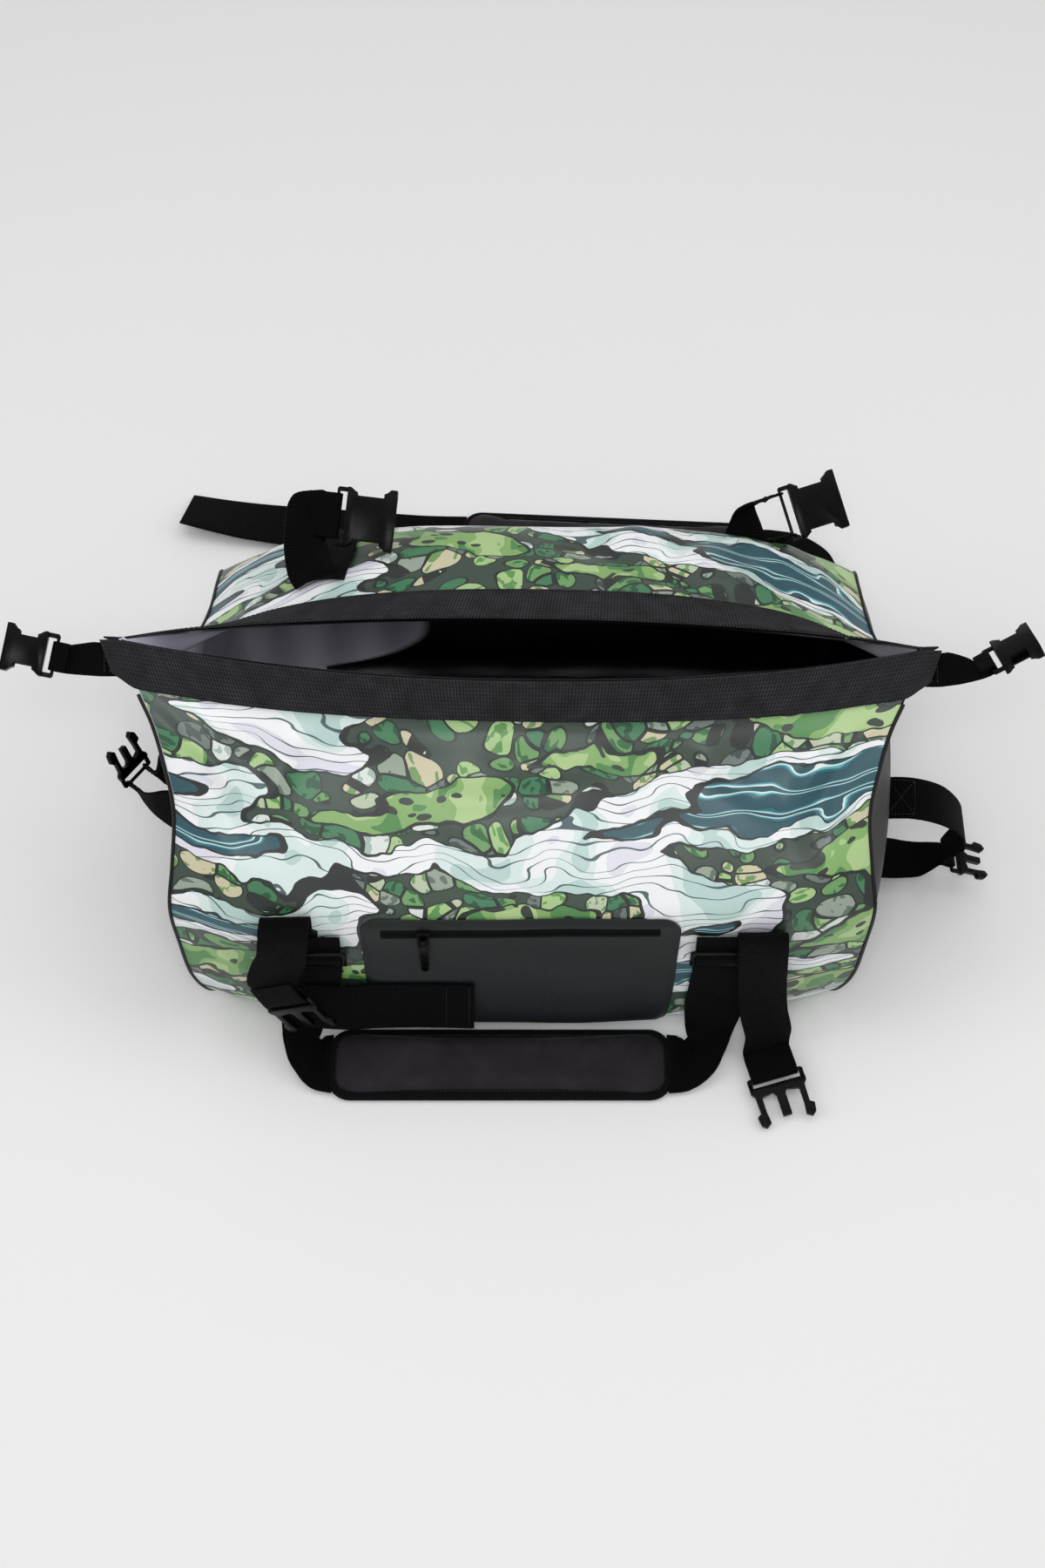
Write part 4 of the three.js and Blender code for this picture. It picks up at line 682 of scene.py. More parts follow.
# %% Seam beads
def bead(name, path, radius):
    path = np.asarray(path)
    run = np.gradient(path, axis=0)
    run /= np.linalg.norm(run, axis=1, keepdims=True)
    aside = np.cross(run, (0.3, 0.2, 1.0) if abs(run[len(run) // 2, 2]) < 0.8 else (1.0, 0.3, 0))
    aside /= np.linalg.norm(aside, axis=1, keepdims=True)
    over = np.cross(run, aside)
    angles = np.linspace(0, 2 * math.pi, 9)
    points = path[:, None] + radius * (aside[:, None] * np.cos(angles)[None, :, None]
                                       + over[:, None] * np.sin(angles)[None, :, None])
    along = lengths_along(path)
    flat = np.stack([np.broadcast_to(angles * radius, points.shape[:2]),
                     np.repeat(along[:, None], 9, axis=1)], 2)
    piece = cloth_grid(name, points, flat, None)
    edit_all(piece)
    bpy.ops.mesh.remove_doubles(threshold=1e-6)
    bpy.ops.mesh.select_all(action="DESELECT")
    bpy.ops.mesh.select_non_manifold()
    bpy.ops.mesh.fill_holes(sides=12)
    bpy.ops.mesh.select_all(action="SELECT")
    bpy.ops.mesh.normals_make_consistent(inside=False)
    bpy.ops.object.mode_set(mode="OBJECT")
    smooth(piece, 50)
    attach(piece, "bag")
    return piece


beads = []
seam_rows = np.linspace(band_rows + 0.2, rows - 0.1, 70)
for side in ("front", "back"):
    for name, end in (("left", -1), ("right", 1)):
        path, _ = side_surface(side, [end], seam_rows)
        path = path[0] + np.array((end * 0.3, 0, 0))
        beads.append(bead(f"seam_{side}_{name}", path, 1.5))
for side, foot in (("front", front_foot), ("back", back_foot)):
    path = foot[:, 0] + np.array((0, 0, 1.6))
    beads.append(bead(f"seam_{side}_base", path, 1.4))
print("seam beads:", len(beads))

# %% [markdown]
# ## Buckles and slides
# Side-release buckles and slides are moulded acetal. Their shapes are right in the CAD model, but a
# moulding has no sharp edge, because the tool is cut with small radii. Each is copied, its loose
# triangles are merged and flattened, and a small bevel rounds what is left.

# %% Moulded pieces
def moulded(node, radius, body):
    piece = bpy.data.objects.new(f"{node}_moulding", nodes[node].data.copy())
    bpy.context.scene.collection.objects.link(piece)
    edit_all(piece)
    bpy.ops.mesh.remove_doubles(threshold=1e-5)
    bpy.ops.mesh.dissolve_limited(angle_limit=math.radians(2))
    bpy.ops.mesh.normals_make_consistent(inside=False)
    bpy.ops.object.mode_set(mode="OBJECT")
    apply_modifier(piece, "radius", "BEVEL", width=radius * MM, segments=2, limit_method="ANGLE",
                   angle_limit=math.radians(35))
    smooth(piece, 35)
    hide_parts(node)
    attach(piece, body)
    return piece


hard = {}
for node in sorted(nodes):
    if "buckle" in node or "slide" in node or node == "zip_pull":
        small = node.startswith("zip")
        hard[node] = moulded(node, 0.2 if small else 0.5, "zip_pull" if node == "zip_pull" else "bag")
print("moulded pieces:", len(hard), "faces:", sum(len(piece.data.polygons) for piece in hard.values()))

# %% [markdown]
# ## Shoulder pads
# Each pad is foam in stretch cloth with a tape bound round its edge. Its copy is remeshed to even
# squares, then a short cloth simulation blows it up a little from inside, which gives the soft crown
# and the pull at its edge. How far a point may move is capped, so that the pad keeps its place.

# %% Pads
def blown(node, name, voxel=4.0, cap=3.5, pressure=4.0):
    piece = bpy.data.objects.new(name, nodes[node].data.copy())
    bpy.context.scene.collection.objects.link(piece)
    edit_all(piece)
    bpy.ops.mesh.remove_doubles(threshold=1e-5)
    bpy.ops.object.mode_set(mode="OBJECT")
    apply_modifier(piece, "even_squares", "REMESH", mode="VOXEL", voxel_size=voxel * MM)
    apply_modifier(piece, "relax", "SMOOTH", factor=0.5, iterations=2)
    before = coordinates(piece.data)
    made = piece.modifiers.new("air", "CLOTH")
    made.settings.use_pressure = True
    made.settings.uniform_pressure_force = pressure
    made.settings.effector_weights.gravity = 0
    made.point_cache.frame_start, made.point_cache.frame_end = 1, 20
    for number in range(1, 21):
        bpy.context.scene.frame_set(number)
    depsgraph = bpy.context.evaluated_depsgraph_get()
    blown_mesh = piece.evaluated_get(depsgraph).to_mesh()
    after = coordinates(blown_mesh)
    piece.evaluated_get(depsgraph).to_mesh_clear()
    piece.modifiers.remove(made)
    bpy.context.scene.frame_set(1)
    moved = after - before
    far = np.linalg.norm(moved, axis=1, keepdims=True)
    shaped = before + moved * np.minimum(1, cap * MM / np.maximum(far, 1e-9))
    shaped[:, 2] = np.maximum(shaped[:, 2], 0.0004)
    piece.data.vertices.foreach_set("co", shaped.ravel())
    piece.data.update()
    print(node, "moved up to", round(float(far.max()) * 1000, 1), "mm before the cap")
    apply_modifier(piece, "finer", "SUBSURF", levels=1, render_levels=1)
    smooth(piece, 80)
    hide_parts(node)
    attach(piece, "bag")
    return piece


def pad_frame(node):
    """The middle of a pad and its long, wide and thin directions, with its outline in that plane."""
    corners = np.unique(np.round(corners_of(node), 2), axis=0)
    middle = (corners.min(0) + corners.max(0)) / 2
    axes = np.linalg.svd(corners - corners.mean(0))[2]
    placed = (corners - middle) @ axes.T
    return middle, axes, placed


pads = {node: blown(node, f"{node}_cushion") for node in ("front_pad", "back_pad")}

# %% [markdown]
# ## Binding and stitches
# A tape is folded over each pad's edge and sewn down. It is a closed strip with a U-shaped section that
# runs round a rectangle with round corners. Thread is modelled too, because a row of stitches is what
# makes webbing look sewn: one stitch is a small six-sided rod, and its copies share one mesh.

# %% Binding tape and thread
def rounded_outline(long, wide, corner, inset, steps=9):
    """A closed ring of points: a rectangle with round corners, brought in by an inset."""
    points, radius = [], max(corner - inset, 1)
    for turn, (sx, sy) in enumerate(((1, 1), (-1, 1), (-1, -1), (1, -1))):
        centre = np.array((sx * (long / 2 - inset - radius), sy * (wide / 2 - inset - radius)))
        for angle in np.linspace(turn * math.pi / 2, (turn + 1) * math.pi / 2, steps):
            points.append(centre + radius * np.array((math.cos(angle), math.sin(angle))))
    return np.array(points + points[:1])


def pad_ring(middle, axes, inset, height):
    """A ring round a pad, brought in by an inset, at a height along its thin direction."""
    ring = rounded_outline(pad_long, pad_wide, pad_corner, inset)
    return middle + ring[:, :1] * axes[0] + ring[:, 1:] * axes[1] + height * axes[2]


def walk(path, pitch):
    """Places every pitch mm along a path, with the path's direction there."""
    far = lengths_along(path)
    wanted = np.arange(pitch / 2, far[-1], pitch)
    at, ahead, behind = (np.stack([np.interp(place, far, path[:, axis]) for axis in range(3)], 1)
                         for place in (wanted, np.minimum(wanted + 0.5, far[-1]), np.maximum(wanted - 0.5, 0)))
    run = ahead - behind
    return at, run / np.linalg.norm(run, axis=1, keepdims=True)


def thread(name, paths, pitch=3.4, length=2.5, radius=0.34):
    bpy.ops.object.select_all(action="DESELECT")
    bpy.ops.mesh.primitive_cylinder_add(vertices=6, radius=radius, depth=length, location=(0, 0, 0))
    piece = bpy.context.object
    piece.name = name
    shape = np.array([vertex.co for vertex in piece.data.vertices])
    faces = [tuple(face.vertices) for face in piece.data.polygons]
    shape[:, :2] *= 0.8
    spots, made = [], []
    for path in paths:
        for at, run in zip(*walk(np.asarray(path), pitch)):
            aside = np.cross(run, (0.31, 0.52, 0.8))
            aside /= np.linalg.norm(aside)
            over = np.cross(run, aside)
            base = len(spots) * len(shape)
            spots.append(at + shape[:, :1] * aside + shape[:, 1:2] * over + shape[:, 2:] * run)
            made += [tuple(base + v for v in face) for face in faces]
    mesh = bpy.data.meshes.new(name)
    mesh.from_pydata((np.concatenate(spots) * MM).tolist(), [], made)
    piece.data = mesh
    smooth(piece, 60)
    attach(piece, "bag")
    return piece, len(spots)


pad_long, pad_wide, pad_corner = 274.0, 58.0, 17.0
stitch_inset, stitch_height = 5.2, 6.75
tape_section = [(6.6, 6.1), (4.0, 6.3), (1.4, 5.9), (-0.5, 4.6), (-0.9, 2.8), (-0.5, 1.2), (1.4, 0.35)]
bindings, threads = {}, []
for node in pads:
    middle, axes, placed = pad_frame(node)
    if axes[2, 2] < 0:
        axes[2], axes[1] = -axes[2], -axes[1]
    foot = -np.abs(placed[:, 2]).max()
    points = np.stack([pad_ring(middle, axes, inset, foot + height) for inset, height in tape_section], 1)
    along = lengths_along(points[:, 3])
    flat = np.stack([np.broadcast_to(np.arange(len(tape_section)) * 2.4, points.shape[:2]),
                     np.repeat(along[:, None], len(tape_section), axis=1)], 2)
    tape = cloth_grid(f"{node}_binding", points, flat, None)
    edit_all(tape)
    bpy.ops.mesh.remove_doubles(threshold=1e-6)
    bpy.ops.mesh.normals_make_consistent(inside=False)
    bpy.ops.object.mode_set(mode="OBJECT")
    thicken(tape, 0.7, offset=0.0)
    smooth(tape, 60)
    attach(tape, "bag")
    bindings[node] = tape
    stitched = pad_ring(middle, axes, stitch_inset, foot + stitch_height)
    threads.append(thread(f"{node}_stitches", [stitched]))
    print(node, "size", np.round(np.ptp(placed, axis=0), 1), "binding", round(float(along[-1])), "mm,",
          threads[-1][1], "stitches")


# %% Stitches on the straps and the rim
def on_strap(node, across, start, stop, lift=1.05, pieces=24):
    """A line on a strap's outer face: across from -1 to 1, start and stop as mm along it."""
    points = strap_points[node]
    middle = points[:, points.shape[1] // 2]
    far = lengths_along(middle)
    normal = normals_of(points)
    facing = np.sum(normal * (points - np.array((0, 0, 60.0))), axis=2)
    normal = normal * np.where(facing.mean() < 0, -1.0, 1.0)
    share = (np.linspace(*across, pieces) + 1) / 2 * (points.shape[1] - 1)
    wanted = np.linspace(start, stop, pieces)
    along = np.interp(wanted if start >= 0 else far[-1] + wanted, far, np.arange(len(far)))
    line = []
    for row, column in zip(along, share):
        i, j = min(int(row), len(far) - 2), min(int(column), points.shape[1] - 2)
        a, b = row - i, column - j
        blend = [(1 - a) * (1 - b), (1 - a) * b, a * (1 - b), a * b]
        four = [(i, j), (i, j + 1), (i + 1, j), (i + 1, j + 1)]
        line.append(sum(w * (points[c] + normal[c] * lift) for w, c in zip(blend, four)))
    return line


for node in ("strap_front_left", "strap_front_right", "strap_back_left", "strap_back_right",
             "end_handle_left", "end_handle_right"):
    lines = []
    for start, stop in ((3, 24), (-24, -3)):
        lines += [on_strap(node, (-0.82, -0.82), start, stop), on_strap(node, (0.82, 0.82), start, stop),
                  on_strap(node, (-0.82, 0.82), start, start), on_strap(node, (-0.82, 0.82), stop, stop),
                  on_strap(node, (-0.82, 0.82), start, stop), on_strap(node, (0.82, -0.82), start, stop)]
    threads.append(thread(f"{node}_stitches", lines))
for node, places in (("front_strap_tail", (-4, -22)), ("rim_tab_left", (5, 9)), ("rim_tab_right", (5, 9))):
    threads.append(thread(f"{node}_stitches", [on_strap(node, (-0.85, 0.85), at, at) for at in places]))
for node in ("rim_band_front", "rim_band_back"):
    lines = [on_strap(node, (side, side), 6, 608, pieces=120) for side in (-0.88, 0.88)]
    threads.append(thread(f"{node}_stitches", lines, pitch=3.8, length=2.9))
print("stitches in all:", sum(count for piece, count in threads))

# %% [markdown]
# ## Finish of the printed cloth
# Dry-bag cloth is polyester with a clear PVC coat, printed under the coat: the print is flat and the
# coat gives wide soft highlights. This print is a design of river stones, reeds and ripples in bands,
# in greens, white, slate and teal. It is built on the flat cloth's own UV, in metres: noise bends the
# coordinates, broad patches choose a motif, and each motif is drawn from cells or waves with a line
# round it. A painted picture would do as well, but nodes stay sharp at any size and need no file.

# %% Printed cloth
def set_ramp(ramp, stops):
    ramp.color_ramp.interpolation = "CONSTANT"
    while len(ramp.color_ramp.elements) > 1:
        ramp.color_ramp.elements.remove(ramp.color_ramp.elements[-1])
    for n, (place, colour) in enumerate(stops):
        stop = ramp.color_ramp.elements[0] if n == 0 else ramp.color_ramp.elements.new(place)
        stop.position, stop.color = place, linear(colour)


printed, tree = new_material("printed polyester under a clear PVC coat")
flat_uv = add_node(tree, "ShaderNodeUVMap", {"uv_map": "flat cloth"}).outputs["UV"]
# the drawing's wobble: bends of 60 mm and of 18 mm
wobble = add_node(tree, NOISE, None, {"Vector": flat_uv, "Scale": 16.0, "Detail": 1.0})
fine_wobble = add_node(tree, NOISE, None, {"Vector": flat_uv, "Scale": 55.0, "Detail": 1.0})
centred = add_node(tree, VECTOR, "SUBTRACT", {0: wobble.outputs["Color"], 1: (0.5, 0.5, 0.5)})
broad = add_node(tree, VECTOR, "MULTIPLY_ADD",
                 {0: centred, 1: (0.05, 0.05, 0), 2: flat_uv})
fine = add_node(tree, VECTOR, "SUBTRACT", {0: fine_wobble.outputs["Color"], 1: (0.5, 0.5, 0.5)})
drawn = add_node(tree, VECTOR, "MULTIPLY_ADD",
                 {0: fine, 1: (0.012, 0.012, 0), 2: broad}).outputs[0]

# broad patches, four times as long as they are tall, choose the motif
patch_place = add_node(tree, MAPPING, None,
                       {"Vector": drawn, "Location": (0.31, 0.17, 0), "Scale": (3.2, 13.5, 1)})
patch = add_node(tree, NOISE, None, {"Vector": patch_place, "Scale": 1.0, "Detail": 1.4, "Roughness": 0.4})

# stones: cells of about 22 by 16 mm, each one shade, with mossy patches and corners rounded off
stone_place = add_node(tree, MAPPING, None, {"Vector": broad, "Scale": (46, 62, 1)})
stones = add_node(tree, CELLS, {"feature": "F1"}, {"Vector": stone_place, "Scale": 1.0, "Randomness": 0.72})
stone_edges = add_node(tree, CELLS, {"feature": "DISTANCE_TO_EDGE"},
                       {"Vector": stone_place, "Scale": 1.0, "Randomness": 0.72})
stone_choice = add_node(tree, "ShaderNodeSeparateColor", None, {0: stones.outputs["Color"]})
stone_shade = add_node(tree, RAMP, None, {0: stone_choice})
set_ramp(stone_shade, [(0.0, "#a9c98a"), (0.15, "#6f9f62"), (0.29, "#cfc8a8"), (0.43, "#97a595"),
                       (0.55, "#dfe6e0"), (0.68, "#3f7d55"), (0.79, "#bcc9ac"), (0.9, "#6e7a75")])
stone_dark = add_node(tree, RAMP, None, {0: stone_choice})
set_ramp(stone_dark, [(0.0, "#5f9650"), (0.15, "#2f6b3c"), (0.29, "#6f9a58"), (0.43, "#5f7262"),
                      (0.55, "#a9bdb2"), (0.68, "#1f5236"), (0.79, "#6d9a5c"), (0.9, "#3f4a48")])
moss = add_node(tree, NOISE, None, {"Vector": drawn, "Scale": 130.0, "Detail": 1.0})
moss_there = add_node(tree, MATH, "GREATER_THAN", {0: moss, 1: 0.56})
stone_two = add_node(tree, MIX, COLOURS,
                     {0: moss_there, 6: stone_shade, 7: stone_dark})
stone_line = add_node(tree, MATH, "LESS_THAN", {0: stone_edges.outputs["Distance"], 1: 0.05})
stone_gap = add_node(tree, MATH, "GREATER_THAN", {0: stones.outputs["Distance"], 1: 0.63})
stone_bed = add_node(tree, MIX, COLOURS,
                     {0: stone_gap, 6: linear("#1f2723"), 7: linear("#37483d")})
stone_rim = add_node(tree, MATH, "GREATER_THAN", {0: stones.outputs["Distance"], 1: 0.58})
stone_drawn = add_node(tree, MATH, "MAXIMUM", {0: stone_line, 1: stone_rim})
stone_ink = add_node(tree, MIX, COLOURS, {0: stone_drawn, 6: stone_two.outputs[2], 7: stone_bed.outputs[2]})

# ripples: white water with thin dark lines 8.5 mm apart that run along the bag
water_tone = add_node(tree, NOISE, None, {"Vector": stone_place, "Scale": 0.35, "Detail": 1.0})
water = add_node(tree, RAMP, None, {0: water_tone})
set_ramp(water, [(0.0, "#bcd6d2"), (0.42, "#dcebe8"), (0.5, "#f2f4f6"), (0.62, "#e2e1ec")])
split = add_node(tree, SPLIT, None, {0: broad})
long_bend = add_node(tree, MAPPING, None, {"Vector": flat_uv, "Scale": (9, 26, 1)})
bend = add_node(tree, NOISE, None, {"Vector": long_bend, "Scale": 1.0, "Detail": 2.0})
bend_up = add_node(tree, MATH, "MULTIPLY_ADD", {0: bend, 1: 0.05, 2: split.outputs["Y"]})
turns = add_node(tree, MATH, "MULTIPLY", {0: bend_up, 1: 2 * math.pi / 0.0085})
ripple = add_node(tree, MATH, "SINE", {0: turns})
broken = add_node(tree, NOISE, None, {"Vector": long_bend, "Scale": 2.2, "Detail": 0.0})
reach = add_node(tree, MATH, "MULTIPLY_ADD", {0: broken, 1: 0.16, 2: 0.87})
ripple_line = add_node(tree, MATH, "GREATER_THAN", {0: ripple, 1: reach})
ripple_ink = add_node(tree, MIX, COLOURS, {0: ripple_line, 6: water, 7: linear("#4b6266")})

# speckled bank: soft green with charcoal spots 4 to 14 mm across
spot_place = add_node(tree, MAPPING, None, {"Vector": drawn, "Scale": (62, 78, 1)})
spots = add_node(tree, CELLS, {"feature": "F1"}, {"Vector": spot_place, "Scale": 1.0, "Randomness": 0.75})
spot_choice = add_node(tree, "ShaderNodeSeparateColor", None, {0: spots.outputs["Color"]})
spot_size = add_node(tree, MATH, "MULTIPLY_ADD", {0: spot_choice.outputs[1], 1: 0.3, 2: 0.14})
spot_there = add_node(tree, MATH, "LESS_THAN", {0: spots.outputs["Distance"], 1: spot_size})
bank_tone = add_node(tree, NOISE, None, {"Vector": drawn, "Scale": 34.0, "Detail": 1.0})
bank = add_node(tree, RAMP, None, {0: bank_tone})
set_ramp(bank, [(0.0, "#4f8a4a"), (0.43, "#86b068"), (0.54, "#aecb8c")])
bank_ink = add_node(tree, MIX, COLOURS, {0: spot_there, 6: bank, 7: linear("#2f3a33")})

# deep water: slate with teal reeds
reed_turns = add_node(tree, MATH, "MULTIPLY", {0: bend_up, 1: 2 * math.pi / 0.019})
reed_wave = add_node(tree, MATH, "SINE", {0: reed_turns})
reeds = add_node(tree, RAMP, None, {0: reed_wave})
set_ramp(reeds, [(0.0, "#24525e"), (0.2, "#182226"), (0.26, "#2f6c78"), (0.62, "#5fb6c0"),
                 (0.78, "#dfeeea"), (0.9, "#24525e")])

# the patches are laid beside each other, with a dark line where two meet
bank_from, ripples_to, deep_to = 0.565, 0.47, 0.395
banks_or_stones = add_node(tree, MATH, "GREATER_THAN", {0: patch, 1: bank_from})
ripples_or_stones = add_node(tree, MATH, "LESS_THAN", {0: patch, 1: ripples_to})
deep_there = add_node(tree, MATH, "LESS_THAN", {0: patch, 1: deep_to})
print_a = add_node(tree, MIX, COLOURS, {0: banks_or_stones, 6: stone_ink.outputs[2], 7: bank_ink.outputs[2]})
print_b = add_node(tree, MIX, COLOURS,
                   {0: ripples_or_stones, 6: print_a.outputs[2], 7: ripple_ink.outputs[2]})
print_c = add_node(tree, MIX, COLOURS, {0: deep_there, 6: print_b.outputs[2], 7: reeds})
lined = print_c.outputs[2]
for level in (bank_from, ripples_to, deep_to):
    line = add_node(tree, MATH, "COMPARE", {0: patch, 1: level, 2: 0.005})
    lined = add_node(tree, MIX, COLOURS, {0: line, 6: lined, 7: linear("#1f2624")}).outputs[2]

# the coat: a polyester scrim of 1.1 mm shows faintly through it, and handling has dulled it in places
scrim_turns = add_node(tree, VECTOR, "SCALE", {0: flat_uv, "Scale": 2 * math.pi / 0.0011})
scrim = add_node(tree, VECTOR, "SINE", {0: scrim_turns})
scrim_split = add_node(tree, SPLIT, None, {0: scrim})
scrim_height = add_node(tree, MATH, "ADD", {0: scrim_split, 1: scrim_split.outputs[1]})
coat_bump = add_node(tree, BUMP, None, {"Height": scrim_height, "Strength": 0.10, "Distance": 0.0001})
hands = add_node(tree, NOISE, None, {"Vector": flat_uv, "Scale": 21.0, "Detail": 4.0})
dulled = add_node(tree, RANGE, None, {"Value": hands, "To Min": 0.34, "To Max": 0.5})
vinyl = add_node(tree, SHADER, None, {"Base Color": lined, "Roughness": dulled,
                                                          "IOR": 1.53, "Normal": coat_bump})
vinyl.inputs["Coat Weight"].default_value = 0.15
vinyl.inputs["Coat Roughness"].default_value = 0.28
finish_material(tree, vinyl)
print("printed cloth:", len(tree.nodes), "nodes")

# %% [markdown]
# ## Black finishes
# Black is never one black. Coated cloth is smooth with a faint scrim, webbing is matt with a woven
# ribbing, moulded acetal has a waxy sheen, and pad cloth is soft and brushed. Each finish differs in
# its roughness and in the scale of its relief, which is what tells them apart in a picture.

# %% Black coated cloth and inner coating
def coated(name, colour, worn, roughness, relief, pitch):
    made, tree = new_material(name)
    place = add_node(tree, "ShaderNodeUVMap", {"uv_map": "flat cloth"}).outputs["UV"]
    turned = add_node(tree, VECTOR, "SCALE", {0: place, "Scale": 2 * math.pi / (pitch * MM)})
    waves = add_node(tree, VECTOR, "SINE", {0: turned})
    parts = add_node(tree, SPLIT, None, {0: waves})
    height = add_node(tree, MATH, "ADD", {0: parts, 1: parts.outputs[1]})
    bump = add_node(tree, BUMP, None, {"Height": height, "Strength": relief, "Distance": 0.0002})
    cloud = add_node(tree, NOISE, None, {"Vector": place, "Scale": 26.0, "Detail": 5.0})
    tone = add_node(tree, MIX, COLOURS, {0: cloud, 6: linear(colour), 7: linear(worn)})
    rough = add_node(tree, RANGE, None,
                     {"Value": cloud, "To Min": roughness - 0.06, "To Max": roughness + 0.08})
    cloth_shader = add_node(tree, SHADER, None,
                            {"Base Color": tone.outputs[2], "Roughness": rough, "IOR": 1.53,
                             "Normal": bump})
    cloth_shader.inputs["Specular IOR Level"].default_value = 0.28
    finish_material(tree, cloth_shader)
    return made


black_cloth = coated("black PVC-coated polyester", "#070708", "#121213", 0.42, 0.25, 1.3)
inner_coat = coated("glossy inner TPU coating", "#060607", "#0d0d0f", 0.2, 0.12, 1.3)

# towards the left end, with a slanting edge, and in a sliver under the right of the back lip, the
# lining is the grey-lavender back of the printed cloth
lining = inner_coat.copy()
lining.name = "grey backing with glossy inner coating"
tree = lining.node_tree
slant_slope, slant_from, slant_to, left_end = -6.5, -1.196, -1.21, -0.175
sliver_from, sliver_to, sliver_depth = 0.158, 0.166, 0.075
shader = next(node for node in tree.nodes if node.type == "BSDF_PRINCIPLED")
black_tone = shader.inputs["Base Color"].links[0].from_socket
cloth_xy = add_node(tree, SPLIT, None,
                    {0: next(node for node in tree.nodes if node.type == "UVMAP").outputs["UV"]})
bag_xyz = add_node(tree, SPLIT, None, {0: add_node(tree, "ShaderNodeTexCoord").outputs["Object"]})
slant = add_node(tree, MATH, "MULTIPLY_ADD", {0: bag_xyz.outputs[1], 1: slant_slope, 2: bag_xyz})
left_part = add_node(tree, RANGE, {"interpolation_type": "SMOOTHSTEP"},
                     {"Value": slant, "From Min": slant_from, "From Max": slant_to})
right_part = add_node(tree, RANGE, {"interpolation_type": "SMOOTHSTEP"},
                      {"Value": cloth_xy, "From Min": sliver_from, "From Max": sliver_to})
near_lip = add_node(tree, MATH, "LESS_THAN", {0: cloth_xy.outputs[1], 1: sliver_depth})
sliver = add_node(tree, MATH, "MULTIPLY", {0: right_part, 1: near_lip})
leftward = add_node(tree, MATH, "LESS_THAN", {0: bag_xyz, 1: left_end})
left_lining = add_node(tree, MATH, "MAXIMUM", {0: left_part, 1: leftward})
either = add_node(tree, MATH, "MAXIMUM", {0: left_lining, 1: sliver})
# painted shade: the grey is painted lighter and darker in bands 50 mm apart along the bag, standing in for the
# light and shade of soft folds in the lining
painted_fold_shade_turns = add_node(tree, MATH, "MULTIPLY", {0: bag_xyz, 1: 2 * math.pi / 0.05})
painted_fold_shade_wave = add_node(tree, MATH, "SINE", {0: painted_fold_shade_turns})
painted_fold_shade_share = add_node(tree, RANGE, None, {"Value": painted_fold_shade_wave, "From Min": -1.0})
grey = add_node(tree, MIX, COLOURS, {0: painted_fold_shade_share, 6: linear("#c6c3d4"), 7: linear("#e8e6f2")})
add_node(tree, MIX, COLOURS, {0: either, 6: black_tone, 7: grey.outputs[2]})
tree.links.new(tree.nodes[-1].outputs[2], shader.inputs["Base Color"])
pocket_cloth = coated("matt black TPU pocket cloth", "#131617", "#1c2022", 0.46, 0.2, 1.0)


# %% Webbing, thread, zip and plastic
def woven(name, colour, painted_rib_highlight, along_pitch, across_pitch, relief):
    """Polypropylene webbing: ribs across it at one pitch, warp lines along it at another, both in mm, with
    their raised tops painted lighter as a painted highlight.
    """
    made, tree = new_material(name)
    place = add_node(tree, "ShaderNodeUVMap", {"uv_map": "flat cloth"}).outputs["UV"]
    split = add_node(tree, SPLIT, None, {0: place})
    across = add_node(tree, MATH, "MULTIPLY", {0: split, 1: 2 * math.pi / (across_pitch * MM)})
    along = add_node(tree, MATH, "MULTIPLY", {0: split.outputs[1], 1: 2 * math.pi / (along_pitch * MM)})
    warp = add_node(tree, MATH, "SINE", {0: across})
    rib = add_node(tree, MATH, "SINE", {0: along})
    both = add_node(tree, MATH, "MULTIPLY_ADD", {0: warp, 1: 0.45, 2: rib})
    fibre = add_node(tree, NOISE, None, {"Vector": place, "Scale": 900.0, "Detail": 2.0})
    height = add_node(tree, MATH, "MULTIPLY_ADD", {0: fibre, 1: 0.8, 2: both})
    bump = add_node(tree, BUMP, None, {"Height": height, "Strength": relief, "Distance": 0.0004})
    # painted highlight and shade: the raised ribs and warp lines are painted lighter and the grooves between
    # them darker, mixed with random wear
    share = add_node(tree, RANGE, None, {"Value": height, "From Min": -1.2, "From Max": 2.0})
    worn = add_node(tree, NOISE, None, {"Vector": place, "Scale": 60.0, "Detail": 4.0})
    shade = add_node(tree, MATH, "MULTIPLY", {0: share, 1: worn})
    tone = add_node(tree, MIX, COLOURS, {0: shade, 6: linear(colour), 7: linear(painted_rib_highlight)})
    web = add_node(tree, SHADER, None,
                   {"Base Color": tone.outputs[2], "Roughness": 0.72, "Normal": bump})
    web.inputs["Specular IOR Level"].default_value = 0.07
    web.inputs["Sheen Weight"].default_value = 0.01
    web.inputs["Sheen Roughness"].default_value = 0.4
    finish_material(tree, web)
    return made


# the second colour of each is the painted highlight on the raised tops of the weave
webbing = woven("black polypropylene webbing", "#020202", "#0e0e0f", 2.2, 1.5, 0.8)
rim_tape = woven("ribbed rim tape", "#1a1a1b", "#525256", 2.4, 3.4, 0.9)
zip_tape = woven("coated zip coil", "#060607", "#161617", 1.3, 0.8, 0.4)

# bonded nylon thread: a little shinier than the webbing it holds, twisted every 0.9 mm
thread_finish, tree = new_material("black bonded nylon thread")
place = add_node(tree, "ShaderNodeTexCoord").outputs["Object"]
twist = add_node(tree, NOISE, None, {"Vector": place, "Scale": 1100.0, "Detail": 1.0})
twist_bump = add_node(tree, BUMP, None, {"Height": twist, "Strength": 0.4, "Distance": 0.0002})
twist_tone = add_node(tree, MIX, COLOURS, {0: twist, 6: linear("#0c0c0d"), 7: linear("#2e2e30")})
bonded = add_node(tree, SHADER, None,
                  {"Base Color": twist_tone.outputs[2], "Roughness": 0.45, "Normal": twist_bump})
bonded.inputs["Specular IOR Level"].default_value = 0.35
finish_material(tree, bonded)

